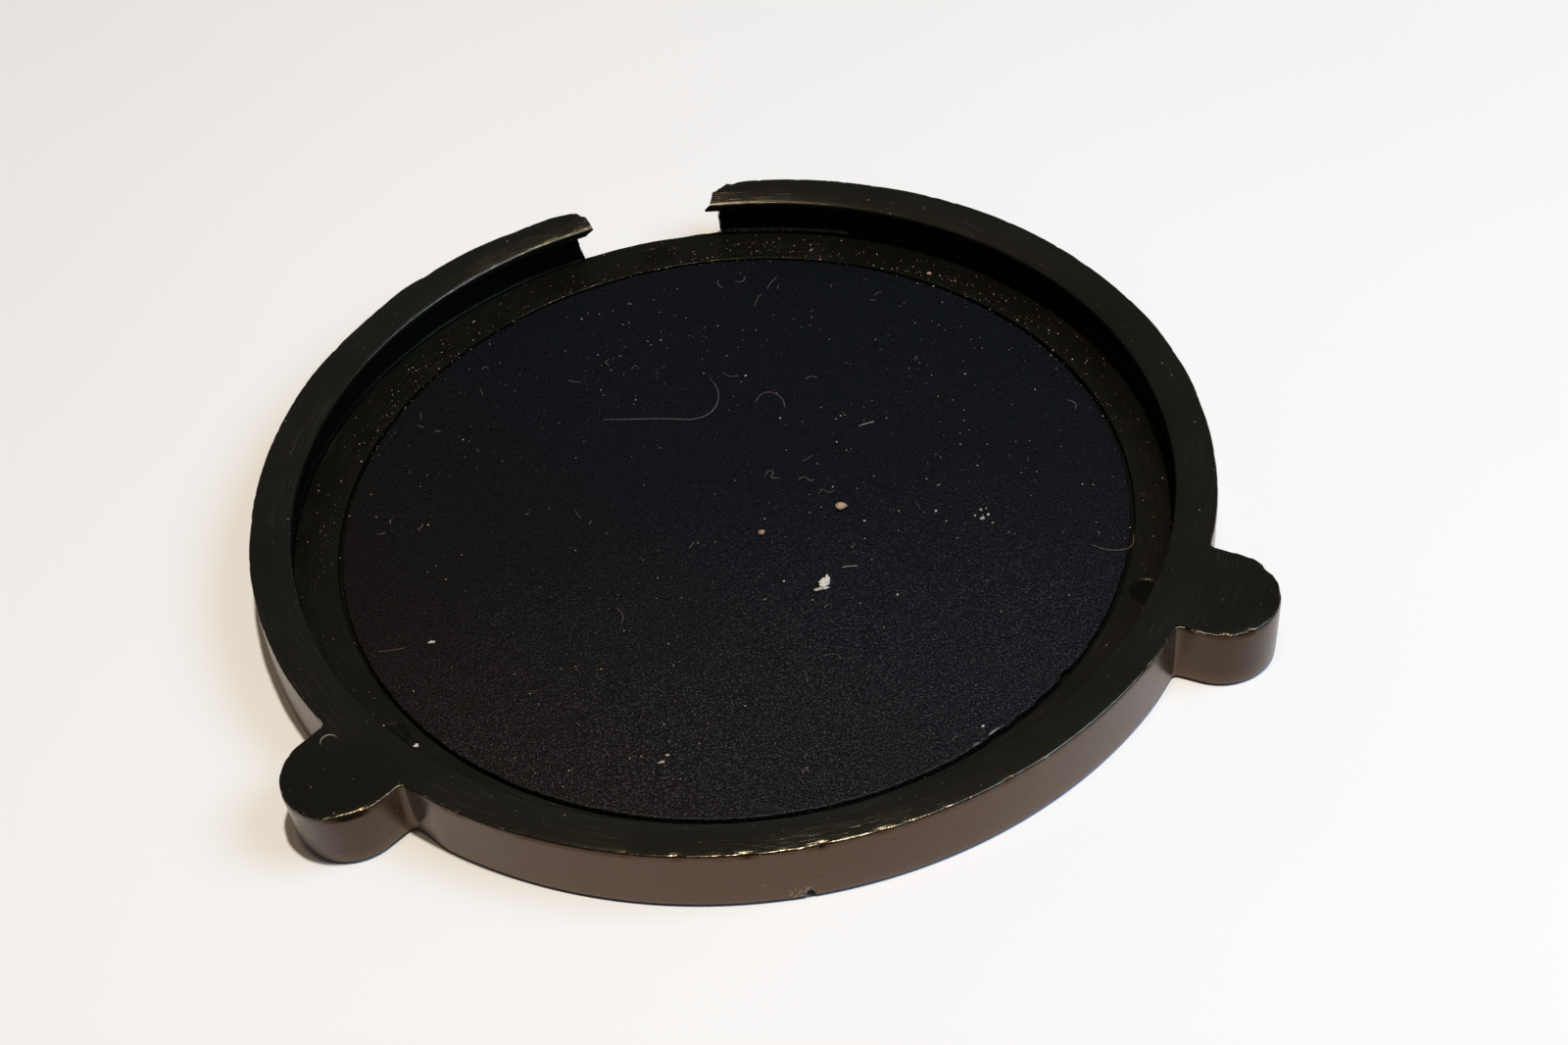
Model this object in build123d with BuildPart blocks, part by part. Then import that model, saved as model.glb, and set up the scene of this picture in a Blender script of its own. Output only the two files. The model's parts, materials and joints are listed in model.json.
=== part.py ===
"""Round push-on cap with a liner: a shallow moulded cap, open side up, with two finger ears on
its rim, a piece of the rim missing between them and opposite, and a thin liner disc glued into
a shallow recess in its floor.

Units are millimetres and degrees. +Z is up, out of the open side. The origin is on the cap's
axis at its flat underside. -Y points midway between the two ears, +Y at the gap in the rim.
"""
from build123d import *
import os
from math import asin, cos, degrees, radians, sin

# --- cap: overall ---------------------------------------------------------------------------
rim_radius = 30.0           # outside of the rim
rim_height = 4.4            # underside to top face
floor_thickness = 1.1

# --- cap: rim section -----------------------------------------------------------------------
wall_thickness = 1.7        # the rim's wall, below the snap bead
bead_depth = 0.85           # how far the snap bead stands in from the wall
bead_land = 0.5             # height of the bead's narrowest stretch
bead_underside_drop = 0.7   # the bead's underside slopes back to the wall over this height
rim_land_width = 1.4        # flat outer part of the top face
lead_in_drop = 0.3          # the inner part of the top face slopes down to the bead by this
rim_edge_radius = 0.12      # rounding of the rim's outer edges

# --- cap: finger ears -----------------------------------------------------------------------
ear_spread = 110.0          # angle between the two ears
ear_width = 6.95
ear_reach = 4.85            # how far an ear stands out from the rim
ear_root_radius = 0.3       # small inside corner where an ear meets the rim

# --- cap: the missing piece of rim ----------------------------------------------------------
gap_start = 81.0            # angle of the wall's torn end on the +X side
gap_end = 101.6             # and on the -X side
tear_slant_start = 1.3      # the tear runs back over the top face's outside by this angle
tear_tongue_start = 2.0     # and leaves the bead this much longer
tear_tongue_end = 1.7       # the bead's tongue at the other end

# --- cap: moulding marks --------------------------------------------------------------------
pin_count = 6
pin_radius = 1.05
pin_depth = 0.12
pin_edge_gap = 0.35         # between a pin mark and the recess
pin_start = 30.0            # angle of the first mark
gate_angle = -93.0          # nick left at the gate, at the foot of the rim
gate_width = 0.7
gate_height = 0.8
gate_depth = 0.3

# --- liner ----------------------------------------------------------------------------------
annulus_width = 3.2         # bare floor between the wall and the liner's recess
recess_depth = 0.5
groove_width = 0.25         # gap all round between the liner and its recess
liner_thickness = 0.42
liner_edge_radius = 0.08
adhesive_thickness = 0.1
adhesive_inset = 0.6        # the adhesive film stops short of the liner's edge

# --- worked out from the above --------------------------------------------------------------
wall_radius = rim_radius - wall_thickness
bead_radius = wall_radius - bead_depth
bead_top = rim_height - lead_in_drop
bead_bottom = bead_top - bead_land
underside_foot = bead_bottom - bead_underside_drop
recess_radius = wall_radius - annulus_width
recess_floor = floor_thickness - recess_depth
liner_radius = recess_radius - groove_width
liner_base = recess_floor + adhesive_thickness
pin_circle_radius = recess_radius + pin_edge_gap + pin_radius
ear_radius = ear_width / 2
ear_centre_radius = rim_radius + ear_reach - ear_radius
wall_middle_radius = rim_radius - wall_thickness / 2
ear_angles = [-90 - ear_spread / 2, -90 + ear_spread / 2]
clear_of_rim = 2 * rim_radius    # how far a cutting shape reaches past the rim


def around(radius, angle):
    """The point at this radius and angle, in degrees from +X."""
    return (radius * cos(radians(angle)), radius * sin(radians(angle)))


# --- cap shell ------------------------------------------------------------------------------
with BuildPart() as cap_shell:
    # floor, wall and snap bead, turned from one half section
    with BuildSketch(Plane.XZ):
        with BuildLine():
            Polyline(
                (0, 0),
                (rim_radius, 0),
                (rim_radius, rim_height),
                (rim_radius - rim_land_width, rim_height),
                (bead_radius, bead_top),
                (bead_radius, bead_bottom),
                (wall_radius, underside_foot),
                (wall_radius, floor_thickness),
                (recess_radius, floor_thickness),
                (recess_radius, recess_floor),
                (0, recess_floor),
                close=True,
            )
        make_face()
    revolve(axis=Axis.Z)

    # two finger ears, as tall as the rim, each a straight tab with a round end
    with BuildSketch(Plane.XY):
        for ear_angle in ear_angles:
            with Locations(Location((0, 0, 0), (0, 0, ear_angle))):
                with Locations((wall_middle_radius, 0)):
                    Rectangle(
                        ear_centre_radius - wall_middle_radius,
                        ear_width,
                        align=(Align.MIN, Align.CENTER),
                    )
                with Locations((ear_centre_radius, 0)):
                    Circle(ear_radius)
    extrude(amount=rim_height)

    # the inside corners at the ear roots
    root_radius = (rim_radius**2 - ear_radius**2) ** 0.5
    root_half_angle = degrees(asin(ear_radius / rim_radius))
    root_corners = []
    for ear_angle in ear_angles:
        for side in (-1, 1):
            root_corners.append(around(rim_radius, ear_angle + side * root_half_angle))
    upright_edges = cap_shell.edges().filter_by(Axis.Z)
    root_edges = []
    for edge in upright_edges:
        middle = edge.center()
        for corner_x, corner_y in root_corners:
            if abs(middle.X - corner_x) + abs(middle.Y - corner_y) < ear_root_radius:
                root_edges.append(edge)
    fillet(root_edges, radius=ear_root_radius)

    # the outer edges are slightly rounded, above and below
    outer_top = cap_shell.faces().sort_by(Axis.Z)[-1].outer_wire().edges()
    outer_bottom = cap_shell.faces().sort_by(Axis.Z)[0].outer_wire().edges()
    fillet(outer_top + outer_bottom, radius=rim_edge_radius)

    # the missing piece of rim: above the floor the tear crosses the wall and the bead
    with BuildSketch(Plane.XY.offset(floor_thickness)):
        with BuildLine():
            Polyline(
                around(clear_of_rim, gap_start - tear_slant_start),
                around(rim_radius, gap_start - tear_slant_start),
                around(wall_radius, gap_start),
                around(bead_radius - bead_depth, gap_start + tear_tongue_start),
                around(bead_radius - bead_depth, gap_end - tear_tongue_end),
                around(wall_radius, gap_end),
                around(rim_radius, gap_end),
                around(clear_of_rim, gap_end),
                close=True,
            )
        make_face()
    extrude(amount=rim_height, mode=Mode.SUBTRACT)

    # and beside the floor the wall has come away cleanly along its inner face
    with BuildSketch(Plane.XY):
        with BuildLine():
            Polyline(
                (0, 0),
                around(clear_of_rim, gap_start),
                around(clear_of_rim, gap_end),
                close=True,
            )
        make_face()
        Circle(wall_radius, mode=Mode.SUBTRACT)
    extrude(amount=rim_height, mode=Mode.SUBTRACT)

    # round marks of the mould's ejector pins on the bare ring of floor
    with BuildSketch(Plane.XY.offset(floor_thickness)):
        with PolarLocations(pin_circle_radius, pin_count, start_angle=pin_start):
            Circle(pin_radius)
    extrude(amount=-pin_depth, mode=Mode.SUBTRACT)

    # the nick where the mould's gate was broken off
    with BuildSketch(Plane.XY):
        with Locations(Location((0, 0, 0), (0, 0, gate_angle))):
            with Locations((rim_radius, 0)):
                Rectangle(2 * gate_depth, gate_width)
    extrude(amount=gate_height, mode=Mode.SUBTRACT)

cap_shell.part.label = "cap_shell"

# --- adhesive film --------------------------------------------------------------------------
with BuildPart() as liner_adhesive:
    with BuildSketch(Plane.XY.offset(recess_floor)):
        Circle(liner_radius - adhesive_inset)
    extrude(amount=adhesive_thickness)

liner_adhesive.part.label = "liner_adhesive"

# --- liner ----------------------------------------------------------------------------------
with BuildPart() as liner_disc:
    with BuildSketch(Plane.XY.offset(liner_base)):
        Circle(liner_radius)
    extrude(amount=liner_thickness)
    fillet(liner_disc.edges().group_by(Axis.Z)[-1], radius=liner_edge_radius)

liner_disc.part.label = "liner_disc"

os.makedirs("parts", exist_ok=True)
export_step(cap_shell.part, "parts/cap_shell.step")
export_step(liner_adhesive.part, "parts/liner_adhesive.step")
export_step(liner_disc.part, "parts/liner_disc.step")
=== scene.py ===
"""Round push-on cap with two finger ears and a liner, lying open side up on a pale table.

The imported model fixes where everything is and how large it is. This script makes the finished
surfaces round it: the moulded shell with its snap bead, torn rim and worn edges, the grained
liner in its recess, and the dust, crumbs and hairs that lie on them.

Lengths in the classes are millimetres and angles are degrees, both as a maker would give them.
Meshes are in metres, +Z up, with the origin on the cap's axis at its underside. -Y points
midway between the two ears and +Y at the gap in the rim.
"""
import json
import logging
from dataclasses import dataclass, field
from enum import Enum

import bmesh
import bpy
import numpy as np
from mathutils import Matrix, Vector


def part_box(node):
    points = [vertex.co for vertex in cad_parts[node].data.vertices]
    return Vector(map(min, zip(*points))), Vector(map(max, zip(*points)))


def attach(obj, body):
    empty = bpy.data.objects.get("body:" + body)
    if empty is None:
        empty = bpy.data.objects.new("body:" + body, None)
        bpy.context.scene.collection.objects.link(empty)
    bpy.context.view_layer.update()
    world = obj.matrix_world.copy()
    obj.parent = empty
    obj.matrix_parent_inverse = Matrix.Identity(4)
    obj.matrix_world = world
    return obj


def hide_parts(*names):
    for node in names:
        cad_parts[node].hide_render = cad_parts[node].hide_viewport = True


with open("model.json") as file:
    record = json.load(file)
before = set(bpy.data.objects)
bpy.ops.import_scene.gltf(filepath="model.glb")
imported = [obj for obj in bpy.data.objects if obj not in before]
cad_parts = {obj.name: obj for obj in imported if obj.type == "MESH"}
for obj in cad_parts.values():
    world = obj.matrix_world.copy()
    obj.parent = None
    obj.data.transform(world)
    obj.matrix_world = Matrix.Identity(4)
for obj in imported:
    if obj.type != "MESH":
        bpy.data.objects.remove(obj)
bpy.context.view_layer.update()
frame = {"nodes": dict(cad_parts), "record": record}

log = logging.getLogger("cap")
MM = 0.001
Array = np.ndarray
Colour = tuple[float, float, float]
Triple = tuple[float, float, float]
Socket = bpy.types.NodeSocket


# --- helpers for surfaces --------------------------------------------------------------------
def smooth_step(value: Array, low: float, high: float) -> Array:
    """Rises from 0 at low to 1 at high with level ends.

    Formula: with t the value's share of the way from low to high, kept within 0 and 1, the
    result is three t squared less two t cubed.

    Args:
        value: the numbers to map.
        low: where the result is 0.
        high: where the result is 1.

    Returns:
        Numbers from 0 to 1, shaped like value.
    """
    t = np.clip((value - low) / (high - low), 0.0, 1.0)
    return t * t * (3.0 - 2.0 * t)


def lattice_value(i: Array, j: Array, k: Array, seed: int) -> Array:
    """A fixed pseudo-random number from -1 to 1 at each whole lattice point.

    Formula: the three indices and the seed are mixed by odd multipliers and shifts in 32-bit
    whole numbers, and the result is scaled to lie between -1 and 1.

    Args:
        i: first lattice index.
        j: second lattice index.
        k: third lattice index.
        seed: picks another field of numbers.

    Returns:
        One number for each lattice point.
    """
    h = (i.astype(np.int64) * 374761393 + j.astype(np.int64) * 668265263
         + k.astype(np.int64) * 2147483647 + seed * 974634777) & 0xFFFFFFFF
    h = ((h ^ (h >> 13)) * 1274126177) & 0xFFFFFFFF
    h = ((h ^ (h >> 16)) * 2246822519) & 0xFFFFFFFF
    h = h ^ (h >> 15)
    return h.astype(np.float64) / 2147483647.5 - 1.0


def smooth_noise(x: Array, y: Array, z: Array, cell: float, seed: int) -> Array:
    """Smooth noise in space, from about -1 to 1.

    Formula: each point falls in a cube of the lattice; the eight corner numbers are blended
    by three smooth steps of the point's place in the cube.

    Args:
        x: first coordinate.
        y: second coordinate.
        z: third coordinate.
        cell: the lattice's spacing, in the coordinates' unit.
        seed: picks another noise.

    Returns:
        Noise for each point, shaped like the broadcast coordinates.
    """
    x, y, z = np.broadcast_arrays(x, y, z)
    px, py, pz = x / cell, y / cell, z / cell
    ix, iy, iz = np.floor(px), np.floor(py), np.floor(pz)
    fx, fy, fz = (smooth_step(p - i, 0.0, 1.0) for p, i in ((px, ix), (py, iy), (pz, iz)))
    total = np.zeros(x.shape)
    for dx in (0, 1):
        for dy in (0, 1):
            for dz in (0, 1):
                weight = (fx if dx else 1 - fx) * (fy if dy else 1 - fy) * (fz if dz else 1 - fz)
                total += weight * lattice_value(ix + dx, iy + dy, iz + dz, seed)
    return total


def around(radius: Array, degrees: Array) -> tuple[Array, Array]:
    """Turns a radius and an angle from +X into x and y.

    Args:
        radius: distance from the axis.
        degrees: angle from +X towards +Y.

    Returns:
        The x and y of each point.
    """
    angle = np.radians(degrees)
    return radius * np.cos(angle), radius * np.sin(angle)


def angle_past(degrees: Array, start: float) -> Array:
    """Angles measured from another one, kept from -180 to 180."""
    return (degrees - start + 180) % 360 - 180


@dataclass
class Patchwork:
    """A closed surface gathered from grids that share their borders.

    Attributes:
        points: blocks of points, in millimetres.
        quads: blocks of four indices per face.
        count: how many points there are so far.
    """

    points: list[Array] = field(default_factory=list)
    quads: list[Array] = field(default_factory=list)
    count: int = 0

    def add_grid(self, grid: Array, closed: bool = False) -> None:
        """Adds a grid of points as rows of quads.

        Args:
            grid: points shaped (rows, columns, 3).
            closed: whether the last column joins the first.
        """
        rows, columns = grid.shape[:2]
        index = np.arange(rows * columns).reshape(rows, columns) + self.count
        if closed:
            index = np.concatenate([index, index[:, :1]], axis=1)
        faces = np.stack([index[:-1, :-1], index[:-1, 1:], index[1:, 1:], index[1:, :-1]], axis=-1)
        self.points.append(grid.reshape(-1, 3))
        self.quads.append(faces.reshape(-1, 4))
        self.count += rows * columns

    def build(self, name: str, sharp_degrees: float = 38.0) -> bpy.types.Object:
        """Welds the grids into one mesh object at the origin.

        Args:
            name: the object's name.
            sharp_degrees: edges that turn by more than this are shaded as sharp.

        Returns:
            The new object, with its faces pointing outwards.
        """
        piece = make_piece(name, np.concatenate(self.points), np.concatenate(self.quads))
        piece.data.set_sharp_from_angle(angle=np.radians(sharp_degrees))
        return piece


def make_piece(name: str, points: Array, faces: Array) -> bpy.types.Object:
    """Makes one smooth, welded mesh object at the origin from whole arrays.

    Args:
        name: the object's name.
        points: points in millimetres, shaped (points, 3).
        faces: point indices, shaped (faces, corners).

    Returns:
        The new object, linked to the scene.
    """
    mesh = bpy.data.meshes.new(name)
    mesh.vertices.add(len(points))
    mesh.vertices.foreach_set("co", (points * MM).astype(np.float32).ravel())
    mesh.loops.add(faces.size)
    mesh.loops.foreach_set("vertex_index", faces.astype(np.int32).ravel())
    mesh.polygons.add(len(faces))
    mesh.polygons.foreach_set("loop_start", np.arange(0, faces.size, faces.shape[1], dtype=np.int32))
    mesh.update(calc_edges=True)
    weld_and_orient(mesh)
    mesh.shade_smooth()
    piece = bpy.data.objects.new(name, mesh)
    bpy.context.scene.collection.objects.link(piece)
    return piece


def weld_and_orient(mesh: bpy.types.Mesh, distance: float = 2e-7) -> None:
    """Merges points that coincide, drops faces that closed up, and turns faces outwards.

    Args:
        mesh: the mesh to clean, changed in place.
        distance: how near two points are to count as one, in metres.
    """
    work = bmesh.new()
    work.from_mesh(mesh)
    bmesh.ops.remove_doubles(work, verts=work.verts, dist=distance)
    bmesh.ops.dissolve_degenerate(work, edges=work.edges, dist=distance)
    bmesh.ops.recalc_face_normals(work, faces=work.faces)
    work.to_mesh(mesh)
    work.free()


def points_of(mesh: bpy.types.Mesh) -> Array:
    """The mesh's points in millimetres, shaped (points, 3)."""
    flat = np.zeros(len(mesh.vertices) * 3, np.float32)
    mesh.vertices.foreach_get("co", flat)
    return flat.reshape(-1, 3).astype(np.float64) / MM


def set_share(mesh: bpy.types.Mesh, name: str, values: Array) -> None:
    """Stores one number per point as an attribute that materials read.

    Args:
        mesh: the mesh that gets the attribute.
        name: the attribute's name.
        values: one number from 0 to 1 for each point.
    """
    attribute = mesh.attributes.new(name, "FLOAT", "POINT")
    attribute.data.foreach_set("value", np.clip(values, 0, 1).astype(np.float32))


def unroll(mesh: bpy.types.Mesh, start_degrees: float) -> None:
    """Gives the mesh a UV map that unrolls it about the cap's axis.

    Formula: U is the angle past start_degrees as a share of a full turn, and V is the distance
    from the axis plus the height, in tens of millimetres, so it grows along the floor and up
    the wall alike. A corner beyond the seam takes its face's side of it.

    Args:
        mesh: the mesh that gets the map.
        start_degrees: where the unrolling starts, in the rim's gap.
    """
    points = points_of(mesh)
    turn = (np.degrees(np.arctan2(points[:, 1], points[:, 0])) - start_degrees) % 360.0 / 360.0
    along = (np.hypot(points[:, 0], points[:, 1]) + points[:, 2]) / 10.0
    corner = np.zeros(len(mesh.loops), np.int32)
    mesh.loops.foreach_get("vertex_index", corner)
    starts = np.zeros(len(mesh.polygons), np.int32)
    mesh.polygons.foreach_get("loop_start", starts)
    first = np.zeros(len(corner), np.int64)
    first[starts] = 1
    owner = np.cumsum(first) - 1
    u = turn[corner]
    lead = u[starts][owner]
    u = u - np.round(u - lead)
    layer = mesh.uv_layers.new(name="Unrolled")
    layer.data.foreach_set("uv", np.stack([u, along[corner]], axis=-1).astype(np.float32).ravel())


# --- finishes --------------------------------------------------------------------------------
class Blend(Enum):
    """How two colours or numbers are joined in a material."""

    ADD = "ADD"
    MULTIPLY = "MULTIPLY"


class NodeBoard:
    """A material's node tree, with short calls for the nodes the finishes use."""

    def __init__(self, name: str) -> None:
        """Makes an empty material with its shader and output.

        Args:
            name: the material's name.
        """
        self.material = bpy.data.materials.new(name)
        self.material.use_nodes = True
        self.tree = self.material.node_tree
        self.tree.nodes.clear()
        self.shader = self.tree.nodes.new("ShaderNodeBsdfPrincipled")
        output = self.tree.nodes.new("ShaderNodeOutputMaterial")
        self.tree.links.new(self.shader.outputs["BSDF"], output.inputs["Surface"])
        self.coordinates = self.tree.nodes.new("ShaderNodeTexCoord")

    def feed(self, socket: Socket, value: object) -> None:
        """Links a socket to another, or sets it to a constant.

        Args:
            socket: the input that gets the value.
            value: an output socket, a number or a colour.
        """
        if isinstance(value, Socket):
            self.tree.links.new(value, socket)
        elif isinstance(value, tuple) and len(value) == 3 and socket.type == "RGBA":
            socket.default_value = (*value, 1.0)
        else:
            socket.default_value = value

    def shape(self, **sockets: object) -> None:
        """Sets or links sockets of the shader by name, with _ for a space.

        Args:
            **sockets: socket names and what they get.
        """
        for name, value in sockets.items():
            self.feed(self.shader.inputs[name.replace("_", " ")], value)

    def stretched(self, x: float, y: float, z: float, unrolled: bool = False) -> Socket:
        """Coordinates in units of the given lengths.

        Args:
            x: what one unit of the first coordinate stands for.
            y: the same for the second.
            z: the same for the third.
            unrolled: whether they are the piece's unrolled map, not its place in space.

        Returns:
            The scaled coordinates.
        """
        mapping = self.tree.nodes.new("ShaderNodeMapping")
        mapping.inputs["Scale"].default_value = (1 / x, 1 / y, 1 / z)
        source = self.coordinates.outputs["UV" if unrolled else "Object"]
        self.tree.links.new(source, mapping.inputs["Vector"])
        return mapping.outputs["Vector"]

    def noise(self, where: Socket, detail: float = 2.0, roughness: float = 0.5) -> Socket:
        """Cloudy noise from 0 to 1, one unit to a cell.

        Args:
            where: coordinates.
            detail: how many finer layers it has.
            roughness: how strong the finer layers are.

        Returns:
            The noise.
        """
        node = self.tree.nodes.new("ShaderNodeTexNoise")
        node.inputs["Scale"].default_value = 1.0
        node.inputs["Detail"].default_value = detail
        node.inputs["Roughness"].default_value = roughness
        self.tree.links.new(where, node.inputs["Vector"])
        return node.outputs["Fac"]

    def specks(self, where: Socket, radius: float, share: float) -> Socket:
        """Small round dots scattered at random.

        Formula: each cell has one dot of the given radius at its feature point, and only cells
        whose random number is below share keep theirs.

        Args:
            where: coordinates, one unit to a cell.
            radius: the dots' radius, in cells.
            share: the share of cells that have a dot.

        Returns:
            1 within a dot and 0 elsewhere.
        """
        node = self.tree.nodes.new("ShaderNodeTexVoronoi")
        node.inputs["Scale"].default_value = 1.0
        self.tree.links.new(where, node.inputs["Vector"])
        near = self.ramp(node.outputs["Distance"], radius, radius * 0.55)
        chance = self.tree.nodes.new("ShaderNodeSeparateColor")
        self.tree.links.new(node.outputs["Color"], chance.inputs["Color"])
        kept = self.ramp(chance.outputs["Red"], share, share * 0.96)
        return self.join(near, kept, Blend.MULTIPLY)

    def crescent(self, centre: Triple, radius: float, shift: tuple[float, float]) -> Socket:
        """A thin crescent, for a curved scratch.

        Formula: what is inside one ball and outside another of the same radius beside it.

        Args:
            centre: the first ball's centre, in metres.
            radius: both balls' radius.
            shift: how far the second ball stands from the first, in x and y.

        Returns:
            1 within the crescent and 0 elsewhere.
        """
        shares = []
        for dx, dy, low, high in ((0.0, 0.0, radius, radius * 0.98), (*shift, radius * 0.98, radius)):
            node = self.tree.nodes.new("ShaderNodeVectorMath")
            node.operation = "DISTANCE"
            self.tree.links.new(self.coordinates.outputs["Object"], node.inputs[0])
            node.inputs[1].default_value = (centre[0] + dx, centre[1] + dy, centre[2])
            shares.append(self.ramp(node.outputs["Value"], low, high))
        return self.join(*shares, Blend.MULTIPLY)

    def ramp(
        self, value: object, low: float, high: float, to_low: float = 0.0, to_high: float = 1.0
    ) -> Socket:
        """Maps low to to_low and high to to_high, and stays between them.

        Args:
            value: the number to map.
            low: the number that gives to_low.
            high: the number that gives to_high.
            to_low: the result at low.
            to_high: the result at high.

        Returns:
            The mapped number.
        """
        node = self.tree.nodes.new("ShaderNodeMapRange")
        self.feed(node.inputs["Value"], value)
        names = ("From Min", "From Max", "To Min", "To Max")
        for name, number in zip(names, (low, high, to_low, to_high)):
            node.inputs[name].default_value = number
        return node.outputs["Result"]

    def join(self, a: object, b: object, how: Blend) -> Socket:
        """Adds or multiplies two numbers.

        Args:
            a: the first number.
            b: the second number.
            how: ADD or MULTIPLY.

        Returns:
            The sum or the product.
        """
        node = self.tree.nodes.new("ShaderNodeMath")
        node.operation = how.value
        self.feed(node.inputs[0], a)
        self.feed(node.inputs[1], b)
        return node.outputs["Value"]

    def tint(self, share: object, a: object, b: object) -> Socket:
        """Blends two colours.

        Args:
            share: how much of b there is, from 0 to 1.
            a: the colour at 0.
            b: the colour at 1.

        Returns:
            The blended colour.
        """
        node = self.tree.nodes.new("ShaderNodeMix")
        node.data_type = "RGBA"
        self.feed(node.inputs["Factor"], share)
        first, second = (socket for socket in node.inputs if socket.type == "RGBA")
        self.feed(first, a)
        self.feed(second, b)
        return next(socket for socket in node.outputs if socket.type == "RGBA")

    def attribute(self, name: str) -> Socket:
        """The piece's own number of that name."""
        node = self.tree.nodes.new("ShaderNodeAttribute")
        node.attribute_name = name
        return node.outputs["Fac"]

    def bump(self, height: object, depth: float, before: Socket | None = None) -> Socket:
        """A bump of the given depth in metres.

        Args:
            height: relief from 0 to 1.
            depth: how deep the relief is, in metres.
            before: another bump that this one is added to.

        Returns:
            The bent normal.
        """
        node = self.tree.nodes.new("ShaderNodeBump")
        node.inputs["Distance"].default_value = depth
        self.feed(node.inputs["Height"], height)
        if before is not None:
            self.tree.links.new(before, node.inputs["Normal"])
        return node.outputs["Normal"]


@dataclass(frozen=True)
class MouldedPlastic:
    """Black moulded plastic, scuffed along the rim and pale where an edge is nicked, with
    painted reflection tints, painted shade in its gloss and a painted corner highlight.

    Attributes:
        base: the plastic's own colour.
        scuffed: its colour where it is rubbed.
        pale_chips_and_glint: its colour on fresh chips and torn faces, and the painted
        highlight on part of the inside corner.
        dust: the colour of the dust on it.
        scratch_centre: the middle of the curved scratch on one ear, in metres.
        scratch_radius: the scratch's radius, in metres.
        scratch_shift: which way it opens, and how wide it is there, in metres.
        roughness: how rough the untouched surface is.
        flat_sheen: the tint of what the upper sides mirror, a painted reflection colour.
        wall_sheen: the tint of what the outer wall mirrors, a painted brown reflection of warm light.
        ior: how strongly it bends light.
        gloss: the specular level where it shines most.
        matt_and_shade_gloss: the specular level where it is quite matt, and where shade is painted.
    """

    base: Colour = (0.0045, 0.0042, 0.0028)
    scuffed: Colour = (0.022, 0.020, 0.015)
    pale_chips_and_glint: Colour = (0.22, 0.18, 0.14)
    dust: Colour = (0.34, 0.30, 0.24)
    flat_sheen: Colour = (0.80, 0.72, 0.52)
    wall_sheen: Colour = (0.76, 0.40, 0.22)
    scratch_centre: Triple = (-0.02615, -0.01560, 0.0044)
    scratch_radius: float = 0.00050
    scratch_shift: tuple[float, float] = (0.00003, -0.00009)
    roughness: float = 0.21
    ior: float = 1.6
    gloss: float = 1.0
    matt_and_shade_gloss: float = 0.05

    def make(self) -> bpy.types.Material:
        """Builds the material.

        Returns:
            A material that reads Object coordinates, the unrolled map, and the attributes for wear
            and for painted light and shade.
        """
        board = NodeBoard("moulded_plastic")
        cloud = board.noise(board.stretched(0.006, 0.006, 0.006), 3.0)
        streak = board.noise(board.stretched(0.02, 0.008, 1.0, unrolled=True), 3.0, 0.65)
        grain = board.noise(board.stretched(0.00016, 0.00016, 0.00016), 2.0)
        streaked, clouded = board.ramp(streak, 0.52, 0.72), board.ramp(cloud, 0.42, 0.62)
        scuff = board.join(streaked, clouded, Blend.MULTIPLY)
        chip = board.attribute("chip")
        coarse = board.specks(board.stretched(0.0011, 0.0011, 0.0011), 0.062, 0.50)
        fine = board.specks(board.stretched(0.0005, 0.0005, 0.0005), 0.11, 0.30)
        dots = board.join(coarse, board.join(fine, 0.35, Blend.MULTIPLY), Blend.ADD)
        colour = board.tint(board.join(scuff, 0.8, Blend.MULTIPLY), self.base, self.scuffed)
        colour = board.tint(board.join(dots, 0.55, Blend.MULTIPLY), colour, self.dust)
        flecks = board.ramp(board.noise(board.stretched(0.00022, 0.00022, 0.00022), 1.0), 0.50, 0.66)
        # The chip share also paints a pale highlight on the shiny stretch of the inside corner.
        colour = board.tint(board.join(chip, flecks, Blend.MULTIPLY), colour, self.pale_chips_and_glint)
        scratch = board.crescent(self.scratch_centre, self.scratch_radius, self.scratch_shift)
        colour = board.tint(scratch, colour, self.pale_chips_and_glint)
        rough = board.join(board.ramp(cloud, 0.3, 0.7, -0.03, 0.03), self.roughness, Blend.ADD)
        rough = board.join(rough, board.join(scuff, 0.10, Blend.MULTIPLY), Blend.ADD)
        relief = board.bump(grain, 0.000006)
        relief = board.bump(streak, 0.00002, relief)
        # The specular level falls with the matt-and-shade share, which paints shade into the gloss.
        gloss = board.ramp(board.attribute("matt_and_shade"), 0.0, 1.0, self.gloss, self.matt_and_shade_gloss)
        # The specular tint is a painted reflection colour: brown on the outer wall, olive on the upper sides.
        sheen = board.tint(board.attribute("side"), self.flat_sheen, self.wall_sheen)
        board.shape(Base_Color=colour, Roughness=rough, Normal=relief)
        board.shape(Specular_IOR_Level=gloss, Specular_Tint=sheen, IOR=self.ior)
        return board.material


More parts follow.
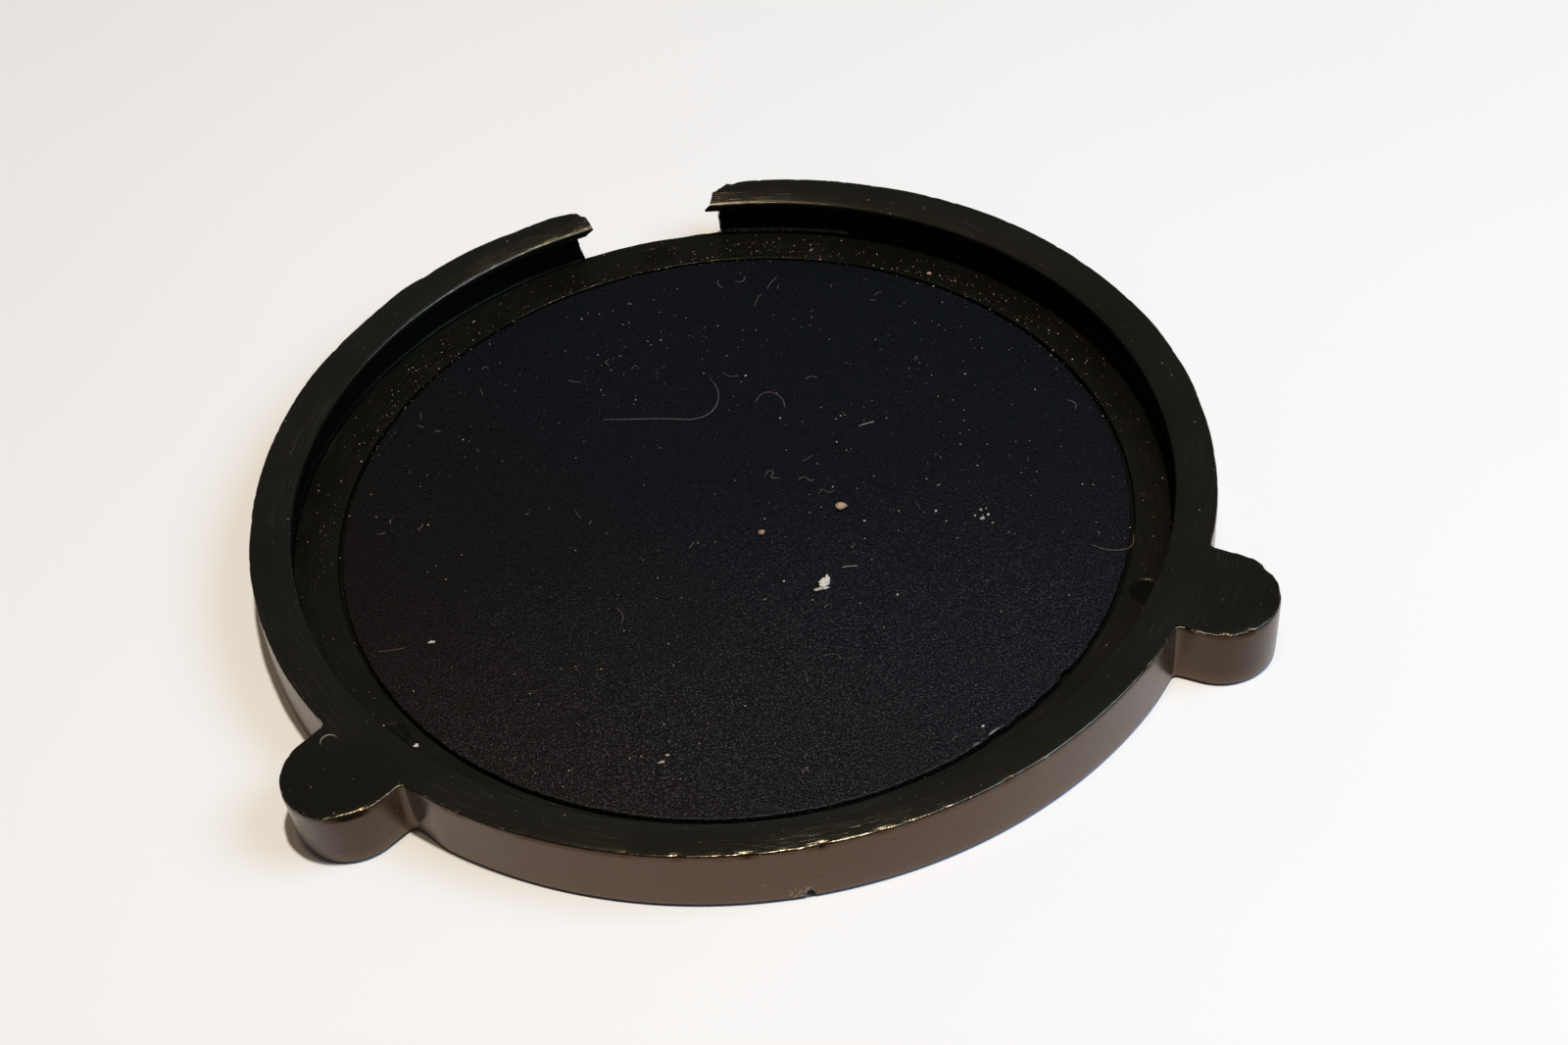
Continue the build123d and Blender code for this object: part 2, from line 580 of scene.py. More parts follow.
@dataclass(frozen=True)
class LinerSheet:
    """Thin matte sheet, blue-black with a fine grain and painted glints, most at the front.

    Attributes:
        base: the sheet's colour.
        brown: its colour towards the side where it is browner.
        painted_glint: the colour of the grain's bright points, painted glints.
        edge: its colour where the edge is frayed and lifted, a painted glint there.
        dust: the colour of the dust on it.
        roughness: how rough it is.
        gloss: the specular level.
    """

    base: Colour = (0.0017, 0.0028, 0.0048)
    brown: Colour = (0.0034, 0.0027, 0.0022)
    painted_glint: Colour = (0.082, 0.072, 0.076)
    edge: Colour = (0.50, 0.50, 0.49)
    dust: Colour = (0.32, 0.30, 0.27)
    roughness: float = 0.40
    gloss: float = 0.13

    def make(self) -> bpy.types.Material:
        """Builds the material.

        Returns:
            A material that reads Object coordinates and the sheet's attributes.
        """
        board = NodeBoard("liner_sheet")
        grain = board.noise(board.stretched(0.00017, 0.00017, 0.00017), 3.0, 0.6)
        cloud = board.noise(board.stretched(0.011, 0.011, 0.011), 2.0)
        fine = board.specks(board.stretched(0.00042, 0.00042, 0.00042), 0.10, 0.16)
        coarse = board.specks(board.stretched(0.0016, 0.0016, 0.0016), 0.045, 0.30)
        fine, coarse = board.join(fine, 0.22, Blend.MULTIPLY), board.join(coarse, 0.5, Blend.MULTIPLY)
        dots = board.join(fine, coarse, Blend.ADD)
        dots = board.join(dots, board.ramp(cloud, 0.38, 0.62, 0.35, 1.0), Blend.MULTIPLY)
        # The grain's bright points are painted glints, denser towards the front.
        fibrous = board.noise(board.stretched(0.00011, 0.00011, 0.00011), 2.0, 0.7)
        ahead = board.ramp(board.attribute("front"), 0.0, 1.0, 0.16, 0.9)
        lit = board.join(board.ramp(fibrous, 0.555, 0.72), ahead, Blend.MULTIPLY)
        colour = board.tint(board.attribute("brown"), self.base, self.brown)
        colour = board.tint(lit, colour, self.painted_glint)
        colour = board.tint(dots, colour, self.dust)
        # The pale colour on the lifted, frayed edge is a painted glint.
        colour = board.tint(board.attribute("lifted_edge_and_glint"), colour, self.edge)
        relief = board.bump(grain, 0.00006)
        board.shape(Base_Color=colour, Roughness=self.roughness, Normal=relief)
        board.shape(Specular_IOR_Level=self.gloss)
        return board.material


@dataclass(frozen=True)
class Grit:
    """Crumbs, lint and other matte bits: a colour that changes from bit to bit and is blotched.

    Attributes:
        name: the material's name.
        warm: the colour where the tone attribute is 0.
        pale: the colour where it is 1.
        roughness: how rough it is.
    """

    name: str
    warm: Colour
    pale: Colour
    roughness: float = 0.7

    def make(self) -> bpy.types.Material:
        """Builds the material, blotched in steps of about a tenth of a millimetre."""
        board = NodeBoard(self.name)
        blotch = board.noise(board.stretched(0.00010, 0.00010, 0.00010), 2.0)
        colour = board.tint(board.attribute("tone"), self.warm, self.pale)
        shade = tuple(0.35 * channel for channel in self.warm)
        colour = board.tint(board.ramp(blotch, 0.45, 0.70, 0.0, 0.8), colour, shade)
        relief = board.bump(blotch, 0.00004)
        board.shape(Base_Color=colour, Roughness=self.roughness, Normal=relief, Specular_IOR_Level=0.3)
        return board.material


@dataclass(frozen=True)
class PaleTable:
    """The table top: a plain pale surface.

    Attributes:
        base: its colour.
        roughness: how rough it is.
    """

    base: Colour = (0.845, 0.843, 0.835)
    roughness: float = 0.65

    def make(self) -> bpy.types.Material:
        """Builds the material, with a barely visible cloudiness."""
        board = NodeBoard("pale_table")
        cloud = board.noise(board.stretched(0.05, 0.05, 0.05), 3.0)
        darker = tuple(0.985 * channel for channel in self.base)
        colour = board.tint(board.ramp(cloud, 0.3, 0.7), self.base, darker)
        board.shape(Base_Color=colour, Roughness=self.roughness, Specular_IOR_Level=0.2)
        return board.material


def dress(piece: bpy.types.Object, material: bpy.types.Material) -> None:
    """Gives a piece its material and its body.

    Args:
        piece: the finished piece.
        material: what it is made of.
    """
    piece.data.materials.clear()
    piece.data.materials.append(material)
    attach(piece, "root")
    log.info("%s: %d points, %d faces", piece.name, len(piece.data.vertices), len(piece.data.polygons))


# --- the shell -------------------------------------------------------------------------------
@dataclass
class FingerEar:
    """A straight tab with a round end on the rim's outside.

    Attributes:
        angle: where it points, in degrees from +X.
        width: across the tab.
        reach: how far it stands out from the rim.
        root_radius: the inside corner where it meets the rim.
        taper: how much narrower it is at its foot, to each side.
    """

    angle: float
    width: float = 6.95
    reach: float = 4.85
    root_radius: float = 0.3
    taper: float = 0.0

    def outline(self, rim_radius: float, step: float) -> tuple[Array, Array]:
        """The tab's edge from one root to the other, with outward normals.

        Formula: seen along the tab, a small arc leaves the rim's circle, a straight side runs
        to the round end's centre, a half circle goes round, and the same comes back.

        Args:
            rim_radius: the rim's outer radius.
            step: the wanted distance between points.

        Returns:
            Points and unit normals, both shaped (points, 2).
        """
        half = self.width / 2
        corner = self.root_radius
        corner_x = np.sqrt((rim_radius + corner) ** 2 - (half + corner) ** 2)
        lean = np.arctan2(half + corner, corner_x)
        end_x = rim_radius + self.reach - half
        sweep = np.linspace(np.pi + lean, 1.5 * np.pi, 6)
        root = np.stack([corner_x + corner * np.cos(sweep), half + corner + corner * np.sin(sweep)], -1)
        root_normal = -np.stack([np.cos(sweep), np.sin(sweep)], -1)
        side_x = np.linspace(corner_x, end_x, max(3, int((end_x - corner_x) / step)))[1:]
        side = np.stack([side_x, np.full_like(side_x, half)], -1)
        side_normal = np.tile([0.0, 1.0], (len(side_x), 1))
        bow = np.linspace(np.pi / 2, 0.0, int(half * np.pi / 2 / step))[1:]
        end = np.stack([end_x + half * np.cos(bow), half * np.sin(bow)], -1)
        end_normal = np.stack([np.cos(bow), np.sin(bow)], -1)
        upper = np.concatenate([root, side, end])
        upper_normal = np.concatenate([root_normal, side_normal, end_normal])
        mirror = np.array([1.0, -1.0])
        points = np.concatenate([upper * mirror, upper[-2::-1]])
        normals = np.concatenate([upper_normal * mirror, upper_normal[-2::-1]])
        c, s = np.cos(np.radians(self.angle)), np.sin(np.radians(self.angle))
        turn = np.array([[c, s], [-s, c]])
        return points @ turn, normals @ turn

    def inside(self, x: Array, y: Array, rim_radius: float) -> Array:
        """How far points lie inside the tab's sides and round end, seen from above.

        Formula: half the width less the distance from the tab's middle line, which stops at
        the round end's centre. Points behind the cap's axis count as far outside.

        Args:
            x: first coordinate.
            y: second coordinate.
            rim_radius: the rim's outer radius.

        Returns:
            The distance inside, below 0 outside.
        """
        c, s = np.cos(np.radians(self.angle)), np.sin(np.radians(self.angle))
        half = self.width / 2
        ahead, aside = x * c + y * s, y * c - x * s
        beyond = np.maximum(ahead - (rim_radius + self.reach - half), 0.0)
        return np.where(ahead > 0, half - np.hypot(beyond, aside), -rim_radius)


@dataclass(frozen=True)
class Tear:
    """One torn end of the rim.

    Attributes:
        angle: where the end's foot stands on the floor.
        inner: heights, and how far past the foot the inner side ends there.
        outer: the same for the outer side.
    """

    angle: float
    inner: tuple[tuple[float, float], ...]
    outer: tuple[tuple[float, float], ...]

    def shift(self, z: Array, across: Array) -> Array:
        """How far past the foot's angle the end lies, in degrees.

        Formula: both sides' shifts are read off at the height; the outer side's share grows
        with the way across, faster near the inner side.

        Args:
            z: heights.
            across: shares of the way from the inner side to the outer.

        Returns:
            The shift of each point.
        """
        inner_z, inner_shift = np.array(self.inner).T
        outer_z, outer_shift = np.array(self.outer).T
        share = 1 - (1 - across) ** 1.5
        return (1 - share) * np.interp(z, inner_z, inner_shift) + share * np.interp(z, outer_z, outer_shift)


@dataclass(frozen=True)
class Dent:
    """A stretch where the rim's outer edge leans in or out.

    Attributes:
        angle: its middle.
        spread: how far it reaches to each side, in degrees.
        depth: how far in it leans at the top, below 0 for out.
    """

    angle: float
    spread: float
    depth: float

    def lean(self, degrees: Array) -> Array:
        """The lean at each angle: a bell curve about the middle."""
        return self.depth * np.exp(-((angle_past(degrees, self.angle) / self.spread) ** 2))


@dataclass
class CapShell:
    """The moulded cap: floor, wall, snap bead, ears, torn rim, pin marks and gate nick.

    Attributes:
        rim_radius: outside of the rim.
        height: underside to top face.
        bead_radius: the bead's narrowest circle.
        wall_radius: inside of the wall below the bead.
        recess_radius: the liner's recess.
        floor_top: height of the bare floor.
        recess_floor: height of the recess floor.
        land_radius: where the flat top gives way to the lead-in.
        lead_in_drop: how far the lead-in falls from the top to the bead.
        bead_land: height of the bead's upright part.
        bead_underside: height of the slope under the bead.
        edge_radius: the top's outer edge.
        foot_radius: the underside's outer edge.
        corner_radius: the inside corner between floor and wall.
        corner_fade: how far from the gap that corner is whole, in degrees.
        step: the wanted distance between points along the outline.
        ears: the finger ears.
        tear_low: the torn end at the smaller angle.
        tear_high: the torn end at the larger angle.
        tear_reach: how far from its end a tear drags the rim, in degrees.
        tear_jag: how rough the very end is, in degrees.
        tear_draw: how far the floor's torn edge is drawn in.
        dents: where the outer edge leans.
        waver: how far the outer edge wavers elsewhere.
        chip_reach: how far from the edge a chip fades out.
        chip_depth: how deep the chips are.
        pin_radius: the ejector-pin marks' radius.
        pin_depth: how far they are sunk.
        pin_circle_radius: the circle they stand on.
        pin_angles: where they stand on it.
        floor_ripple: how far the bare floor's height wavers.
        gate_angle: where the gate nick is.
        gate_height: how high it reaches.
        gate_depth: how deep it is at the foot.
        gate_width: how wide it is there.
        flake_reach: how far the raised flake beside it reaches.
        flake_rise: how far the flake stands out.
        across: how many points lie across the rim's top.
    """

    rim_radius: float
    height: float
    bead_radius: float
    wall_radius: float = 28.3
    recess_radius: float = 25.1
    floor_top: float = 1.1
    recess_floor: float = 0.6
    land_radius: float = 28.6
    lead_in_drop: float = 0.3
    bead_land: float = 0.5
    bead_underside: float = 0.7
    edge_radius: float = 0.12
    foot_radius: float = 0.32
    corner_radius: float = 0.28
    corner_fade: float = 2.5
    step: float = 0.235
    ears: tuple[FingerEar, ...] = (FingerEar(-145.0, taper=0.32), FingerEar(-35.0, taper=0.08))
    tear_low: Tear = Tear(
        81.0,
        inner=((1.1, 0.0), (2.9, 0.1), (3.3, 0.7), (3.6, 1.9), (3.8, 1.9), (4.1, 1.2), (4.4, 0.6)),
        outer=((1.1, 0.0), (4.4, -1.3)),
    )
    tear_high: Tear = Tear(
        101.2,
        inner=((1.1, -0.2), (1.9, 0.5), (2.6, 0.7), (3.3, 0.3), (3.7, -0.7), (4.0, -1.4), (4.4, -1.0)),
        outer=((1.1, 0.0), (4.4, 0.1)),
    )
    tear_reach: float = 5.0
    tear_jag: float = 0.30
    tear_draw: float = 0.07
    dents: tuple[Dent, ...] = (
        Dent(79.5, 7.0, 0.20), Dent(80.0, 1.6, 0.20), Dent(107.0, 6.0, 0.20), Dent(101.5, 2.0, 0.30),
        Dent(-7.0, 10.0, 0.06), Dent(44.0, 12.0, -0.10), Dent(128.0, 3.5, -0.18), Dent(148.0, 8.0, -0.09),
        Dent(174.0, 8.0, 0.04),
    )
    waver: float = 0.05
    chip_reach: float = 0.40
    chip_depth: float = 0.16
    pin_radius: float = 1.05
    pin_depth: float = 0.09
    pin_circle_radius: float = 26.5
    pin_angles: tuple[float, ...] = (29.2, 91.0, 149.8, 210.0, 270.0, 328.6)
    floor_ripple: float = 0.010
    gate_angle: float = -92.9
    gate_height: float = 0.8
    gate_depth: float = 0.3
    gate_width: float = 0.55
    flake_reach: float = 1.3
    flake_rise: float = 0.045
    across: int = 10

    def outline(self) -> tuple[Array, Array]:
        """The cap's outer edge from the high tear round to the low one, with normals.

        Returns:
            Points and unit normals, both shaped (columns, 2).
        """
        points: list[Array] = []
        normals: list[Array] = []
        start = self.tear_high.angle
        for ear in sorted(self.ears, key=lambda e: (e.angle - start) % 360):
            tab, tab_normals = ear.outline(self.rim_radius, self.step)
            root = np.degrees(np.arctan2(tab[0, 1], tab[0, 0]))
            stop = start + (root - start) % 360
            arc = self.arc(start, stop)[:-1]
            points += [self.rim_radius * arc, tab]
            normals += [arc, tab_normals]
            start = np.degrees(np.arctan2(tab[-1, 1], tab[-1, 0]))
        last = self.arc(start, start + (self.tear_low.angle - start) % 360)[1:]
        points.append(self.rim_radius * last)
        normals.append(last)
        return np.concatenate(points), np.concatenate(normals)

    def arc(self, start: float, stop: float) -> Array:
        """Unit vectors from one angle to another, a step apart and closer at the gate nick.

        Args:
            start: the first angle.
            stop: the last angle, above the first.

        Returns:
            Unit vectors shaped (points, 2).
        """
        count = int(np.radians(stop - start) * self.rim_radius / self.step) + 1
        angles = np.linspace(start, stop, count)
        gate = start + (self.gate_angle - start) % 360
        if gate < stop:
            fine = np.linspace(gate - 3.2, gate + 1.2, 57)
            angles = np.concatenate([angles[angles < fine[0] - 0.1], fine, angles[angles > fine[-1] + 0.1]])
        return np.stack(around(1.0, angles), -1)

    def levels(self) -> tuple[Array, Array, Array]:
        """Heights of the rim's rows, with the inner radius and the outer edge's inset there.

        Formula: the inner side is the wall, a slope out to the bead, the bead's rounded nose
        and the lead-in. The outer side is upright, drawn in by a quarter circle at each end.

        Returns:
            Heights, inner radii and insets, one of each for a row.
        """
        top, low = self.height, self.foot_radius
        nose_top = top - self.lead_in_drop
        nose_low = nose_top - self.bead_land
        foot = nose_low - self.bead_underside
        e = self.edge_radius
        heights = np.concatenate([
            low * np.array([0.0, 0.04, 0.13, 0.3, 0.6, 1.0]), [0.5, 0.8],
            self.floor_top + self.corner_radius * np.array([0.0, 0.08, 0.3, 0.6, 1.0]),
            np.linspace(self.floor_top + self.corner_radius, foot, 4)[1:],
            np.linspace(foot, nose_low, 5)[1:],
            nose_low + self.bead_land * np.array([0.12, 0.3, 0.55, 0.78, 0.92, 1.0]),
            nose_top + self.lead_in_drop * np.array([0.12, 0.3, 0.6, 0.8, 0.94, 1.0]),
        ])
        knots = [
            (0.0, 0.0), (foot, 0.0), (nose_low - 0.04, 0.92), (nose_low + 0.07, 0.99),
            (nose_low + 0.2, 1.0), (nose_top - 0.12, 1.0), (nose_top - 0.03, 0.97), (nose_top + 0.03, 0.88),
        ]
        knot_z, share = np.array(knots).T
        inner = self.wall_radius - (self.wall_radius - self.bead_radius) * np.interp(heights, knot_z, share)
        lead = (heights - nose_top - 0.03) / (self.lead_in_drop - 0.03)
        nose = self.wall_radius - (self.wall_radius - self.bead_radius) * 0.88
        inner = np.where(lead > 0, nose + (self.land_radius - nose) * np.clip(lead, 0, 1) ** 1.15, inner)
        above, below = np.maximum(heights - (top - e), 0.0), np.maximum(low - heights, 0.0)
        inset = e - np.sqrt(np.maximum(e * e - above * above, 0.0))
        inset = inset + low - np.sqrt(np.maximum(low * low - below * below, 0.0))
        return heights, inner, inset

    def rim_points(self, columns: slice, across: Array, rows: slice) -> Array:
        """Points of the rim's block: along its outline, across its width and up its height.

        Formula: each column joins an inner point to the outline's point at the same angle, and
        a point lies its share of the way across. The wear, the dents and the torn ends are
        then added to it.

        Args:
            columns: which of the outline's columns.
            across: shares of the way from the inner side to the outer.
            rows: which of the heights.

        Returns:
            Points shaped (columns, across, rows, 3).
        """
        outline, normals = self.outline()
        heights, inner, inset = self.levels()
        turn = np.unwrap(np.arctan2(outline[:, 1], outline[:, 0]))
        along = np.concatenate([[0.0], np.cumsum(np.hypot(*np.diff(outline, axis=0).T))])
        outline, normals, turn, along = outline[columns], normals[columns], turn[columns], along[columns]
        heights, inner, inset = heights[rows], inner[rows], inset[rows]
        spoke = np.stack([np.cos(turn), np.sin(turn)], -1)
        corner = self.corner(heights)[None, :] * self.corner_share(np.degrees(turn))[:, None]
        inner = inner[None, :] - corner
        low = spoke[:, None, None, :] * inner[:, None, :, None]
        high = outline[:, None, None, :] - normals[:, None, None, :] * inset[None, None, :, None]
        share = across[None, :, None, None]
        flat = low + share * (high - low)
        z = np.broadcast_to(heights[None, None, :], flat.shape[:3]).copy()
        depth = np.maximum(self.inside(flat[..., 0], flat[..., 1]), 0.0)
        normals, turn = normals[:, None, None, :], turn[:, None, None]
        flat, z = self.wear(flat, z, depth, along[:, None, None], normals)
        flat = self.bend(flat, z, across[None, :, None], normals, np.degrees(turn))
        return self.tear(flat, z, across[None, :, None], np.degrees(turn))

    def corner(self, z: Array) -> Array:
        """How far the inside corner between wall and floor stands in front of the wall.

        Formula: a quarter circle that starts on the floor and meets the wall one corner
        radius above it; nothing below the floor.

        Args:
            z: heights.

        Returns:
            The distance towards the axis at each height.
        """
        r = self.corner_radius
        rise = np.clip(self.floor_top + r - z, 0.0, r)
        return np.where(z < self.floor_top - 1e-6, 0.0, r - np.sqrt(np.maximum(r * r - rise * rise, 0.0)))

    def corner_share(self, degrees: Array) -> Array:
        """The inside corner's share at an angle: whole along the wall, none in the gap.

        Args:
            degrees: angles from +X.

        Returns:
            Numbers from 0 to 1.
        """
        middle = (self.tear_low.angle + self.tear_high.angle) / 2
        half_gap = (self.tear_high.angle - self.tear_low.angle) / 2
        return smooth_step(np.abs(angle_past(degrees, middle)) - half_gap, 0.0, self.corner_fade)

    def inside(self, x: Array, y: Array) -> Array:
        """How far points lie inside the cap's outer edge, seen from above.

        Formula: the largest of the distance inside the rim's circle and inside each ear.

        Args:
            x: first coordinate.
            y: second coordinate.

        Returns:
            The distance inside, below 0 outside.
        """
        deep = self.rim_radius - np.hypot(x, y)
        for ear in self.ears:
            deep = np.maximum(deep, ear.inside(x, y, self.rim_radius))
        return deep

    def wear(self, flat: Array, z: Array, depth: Array, along: Array, normal: Array) -> tuple[Array, Array]:
        """Chips the top's outer edge.

        Formula: a chip's depth is noise along the edge above a threshold, faded out with the
        distance from the edge, and more at the front and on the ears; it draws the edge in and
        lowers it a little.

        Args:
            flat: x and y of the points.
            z: their heights.
            depth: how far they are inside the outer edge.
            along: how far along the outline they are.
            normal: the outline's outward normal.

        Returns:
            The changed x and y, and the changed heights.
        """
        edge = np.hypot(depth, self.height - z)
        near = 1 - smooth_step(edge, 0.02, self.chip_reach)
        on_ear = smooth_step(np.hypot(flat[..., 0], flat[..., 1]), self.rim_radius, self.rim_radius + 0.6)
        near = near * (0.45 + 0.55 * smooth_step(-flat[..., 1], 5.0, 18.0) + 0.75 * on_ear)
        fine = smooth_noise(along, 0.0, 0.0, 0.55, 11)
        coarse = smooth_noise(along, 0.0, 0.0, 2.3, 12)
        chip = np.maximum(fine - 0.40, 0) * self.chip_depth + np.maximum(coarse - 0.5, 0) * self.chip_depth
        chip = chip + 0.03 * (1 + smooth_noise(along, 0.0, 0.0, 0.3, 13)) / 2
        return flat - normal * (near * chip)[..., None], z - near * chip * 0.7

    def bend(self, flat: Array, z: Array, across: Array, normal: Array, degrees: Array) -> Array:
        """Gives the outer side its dents, its waver, the ears' taper and the gate nick.

        Formula: dents and waver grow with the height above the floor and fade towards the
        inner side. The taper grows towards the foot. The nick is a notch whose depth falls
        off with the distance from the gate and with height, beside a thin raised flake.

        Args:
            flat: x and y of the points.
            z: their heights.
            across: their share of the way to the outer side.
            normal: the outline's outward normal.
            degrees: their angle.

        Returns:
            The changed x and y.
        """
        raised = np.clip((z - self.floor_top) / (self.height - self.floor_top), 0, 1) ** 1.3
        waver = self.waver * (1 + smooth_noise(degrees * 0.52, 0.0, 0.0, 2.1, 14)) / 2
        pull = raised * across * (waver + sum(dent.lean(degrees) for dent in self.dents))
        for ear in self.ears:
            beside = np.abs(angle_past(degrees, ear.angle))
            pull = pull + ear.taper * (1 - z / self.height) * across * (1 - smooth_step(beside, 7.0, 12.0))
        offset = np.radians(angle_past(degrees, self.gate_angle)) * self.rim_radius
        outer = smooth_step(across, 0.75, 1.0)
        notch = np.clip(1 - np.abs(offset) / (self.gate_width / 2), 0, 1) ** 0.7
        notch = notch * (1 - smooth_step(z, 0.25, self.gate_height))
        crest = np.clip(1 + offset / self.flake_reach, 0, 1) * (offset < 0)
        flake = crest * (1 - smooth_step(np.abs(z - 0.25 - 0.4 * crest), 0.02, 0.25))
        pull = pull + outer * (self.gate_depth * notch - self.flake_rise * flake)
        return flat - normal * pull[..., None]

    def tear(self, flat: Array, z: Array, across: Array, degrees: Array) -> Array:
        """Drags the rim's ends into the torn shape.

        Formula: near an end a point above the floor is turned about the axis by the tear's
        shift at its height, fading out over the tear's reach, plus fine noise at the very end.

        Args:
            flat: x and y of the points.
            z: their heights.
            across: their share of the way to the outer side.
            degrees: their angle.

        Returns:
            The finished points, shaped like z with 3 coordinates.
        """
        upper = smooth_step(z, self.floor_top, self.floor_top + 0.5)
        move = np.zeros(np.broadcast_shapes(degrees.shape, z.shape))
        for end, distance, seed in ((self.tear_low, self.tear_low.angle + 360 - degrees, 21),
                                    (self.tear_high, degrees - self.tear_high.angle, 22)):
            far = np.clip(1 - distance / self.tear_reach, 0, 1) ** 1.3
            jag = self.tear_jag * smooth_noise(across * 7.0, z * 3.5, 0.0, 1.0, seed)
            jag = jag * np.exp(-distance / 0.6)
            move = move + upper * (end.shift(z, across) * far + jag)
        angle = np.radians(move)
        c, s = np.cos(angle), np.sin(angle)
        x = flat[..., 0] * c - flat[..., 1] * s
        y = flat[..., 0] * s + flat[..., 1] * c
        return np.stack([x, y, z], -1)

    def floor_angles(self) -> tuple[Array, Array]:
        """Angles of the floor's columns: all of them, and those in the gap.

        Returns:
            Angles right round, starting at the high tear, and the gap's from tear to tear.
        """
        outline, _ = self.outline()
        turn = np.degrees(np.unwrap(np.arctan2(outline[:, 1], outline[:, 0])))
        turn = turn - turn[0] + self.tear_high.angle
        count = int(np.radians(self.tear_high.angle - self.tear_low.angle) * self.wall_radius / self.step)
        gap = np.linspace(self.tear_low.angle, self.tear_high.angle, count)
        return np.concatenate([turn, gap[1:-1] + 360]), gap

    def torn_foot(self, degrees: Array, z: Array) -> Array:
        """The floor's outer radius, ragged where the wall has come away.

        Formula: the wall's inner radius, drawn in within the gap by noise of the angle and
        height that fades to nothing at the two tears.

        Args:
            degrees: angles of the points.
            z: their heights.

        Returns:
            The radius at each point.
        """
        inside = (degrees - self.tear_low.angle) % 360 / (self.tear_high.angle - self.tear_low.angle)
        fade = np.where(inside < 1, np.clip(inside * (1 - inside) * 12, 0, 1), 0.0)
        ragged = smooth_noise(inside * 20, z * 2.0, 0.0, 0.9, 31) * 0.5
        ragged = ragged + smooth_noise(inside * 20, z, 0.0, 3.0, 32)
        return self.wall_radius - fade * self.tear_draw * (1 + ragged)

    def floor_grid(self, degrees: Array) -> Array:
        """The floor's upper side: bare ring with pin marks, recess wall and recess floor.

        Formula: rings of shrinking radius. A pin mark lowers the ring by a smooth step of the
        distance from its centre, and is tilted a little.

        Args:
            degrees: the columns' angles.

        Returns:
            Points shaped (rings, columns, 3).
        """
        share = np.concatenate([[0.0, 0.08], np.linspace(0.16, 1, 26)])
        ring = self.torn_foot(degrees, np.float64(self.floor_top))
        ring = (ring - self.corner_radius * self.corner_share(degrees))[None, :]
        radius = ring + (self.recess_radius + 0.04 - ring) * share[:, None]
        x, y = around(radius, degrees[None, :])
        z = np.full_like(x, self.floor_top)
        for angle in self.pin_angles:
            pin_x, pin_y = around(self.pin_circle_radius, angle)
            away = np.hypot(x - pin_x, y - pin_y)
            sunk = 1 - smooth_step(away, self.pin_radius - 0.13, self.pin_radius + 0.05)
            side = ((x - pin_x) * np.cos(angle * 7.0) + (y - pin_y) * np.sin(angle * 7.0)) / self.pin_radius
            z = z - sunk * self.pin_depth * (0.75 + 0.3 * side)
        within = (np.clip(share * 8, 0, 1) * np.clip(8 - share * 8, 0, 1))[:, None]
        z = z + self.floor_ripple * smooth_noise(x, y, 0.0, 1.7, 41) * within
        rings = [np.stack([x, y, z], -1)]
        wall = [(0.01, self.floor_top - 0.02), (0.0, self.floor_top - 0.07)]
        for further, height in wall + [(step, self.recess_floor) for step in (0.0, -6.0, -15.0, -23.0)]:
            rx, ry = around(self.recess_radius + further, degrees)
            rings.append(np.stack([rx, ry, np.full_like(rx, height)], -1)[None])
        centre = np.zeros((1, len(degrees), 3))
        centre[..., 2] = self.recess_floor
        return np.concatenate([*rings, centre])

    def underside(self, degrees: Array) -> Array:
        """The flat underside, as rings from the wall's foot to the centre.

        Args:
            degrees: the columns' angles.

        Returns:
            Points shaped (rings, columns, 3).
        """
        rings = []
        for radius in (self.wall_radius, 25.0, 18.0, 9.0, 2.0, 0.0):
            edge = self.torn_foot(degrees, np.float64(0.0)) if radius == self.wall_radius else radius
            x, y = around(edge, degrees)
            rings.append(np.stack([x, y, np.zeros_like(x)], -1))
        return np.stack(rings)

    def build(self) -> bpy.types.Object:
        """Makes the whole shell as one closed surface.

        Returns:
            The shell, with its wear and painted-light attributes and its unrolled map.
        """
        work = Patchwork()
        heights, _, _ = self.levels()
        whole, across = slice(None), 1 - np.linspace(1, 0, self.across) ** 1.7
        foot = int(np.argmin(np.abs(heights - self.floor_top)))
        work.add_grid(self.rim_points(whole, np.array([1.0]), whole)[:, 0])
        work.add_grid(self.rim_points(whole, np.array([0.0]), slice(foot, None))[:, 0])
        work.add_grid(self.rim_points(whole, across, slice(0, 1))[:, :, 0])
        work.add_grid(self.rim_points(whole, across, slice(-1, None))[:, :, 0])
        for end, seed in ((slice(0, 1), 51), (slice(-1, None), 52)):
            work.add_grid(self.torn_face(self.rim_points(end, across, whole)[0], seed))
        degrees, gap = self.floor_angles()
        work.add_grid(self.floor_grid(degrees), closed=True)
        work.add_grid(self.underside(degrees), closed=True)
        edge_z = heights[: foot + 1]
        edge_r = self.torn_foot(gap[:, None], edge_z[None, :])
        x, y = around(edge_r, gap[:, None])
        work.add_grid(np.stack([x, y, np.broadcast_to(edge_z, x.shape)], -1))
        shell = work.build("cap_shell_skin")
        self.mark_wear_and_painted_light(shell.data)
        unroll(shell.data, self.tear_low.angle + 10.0)
        return shell

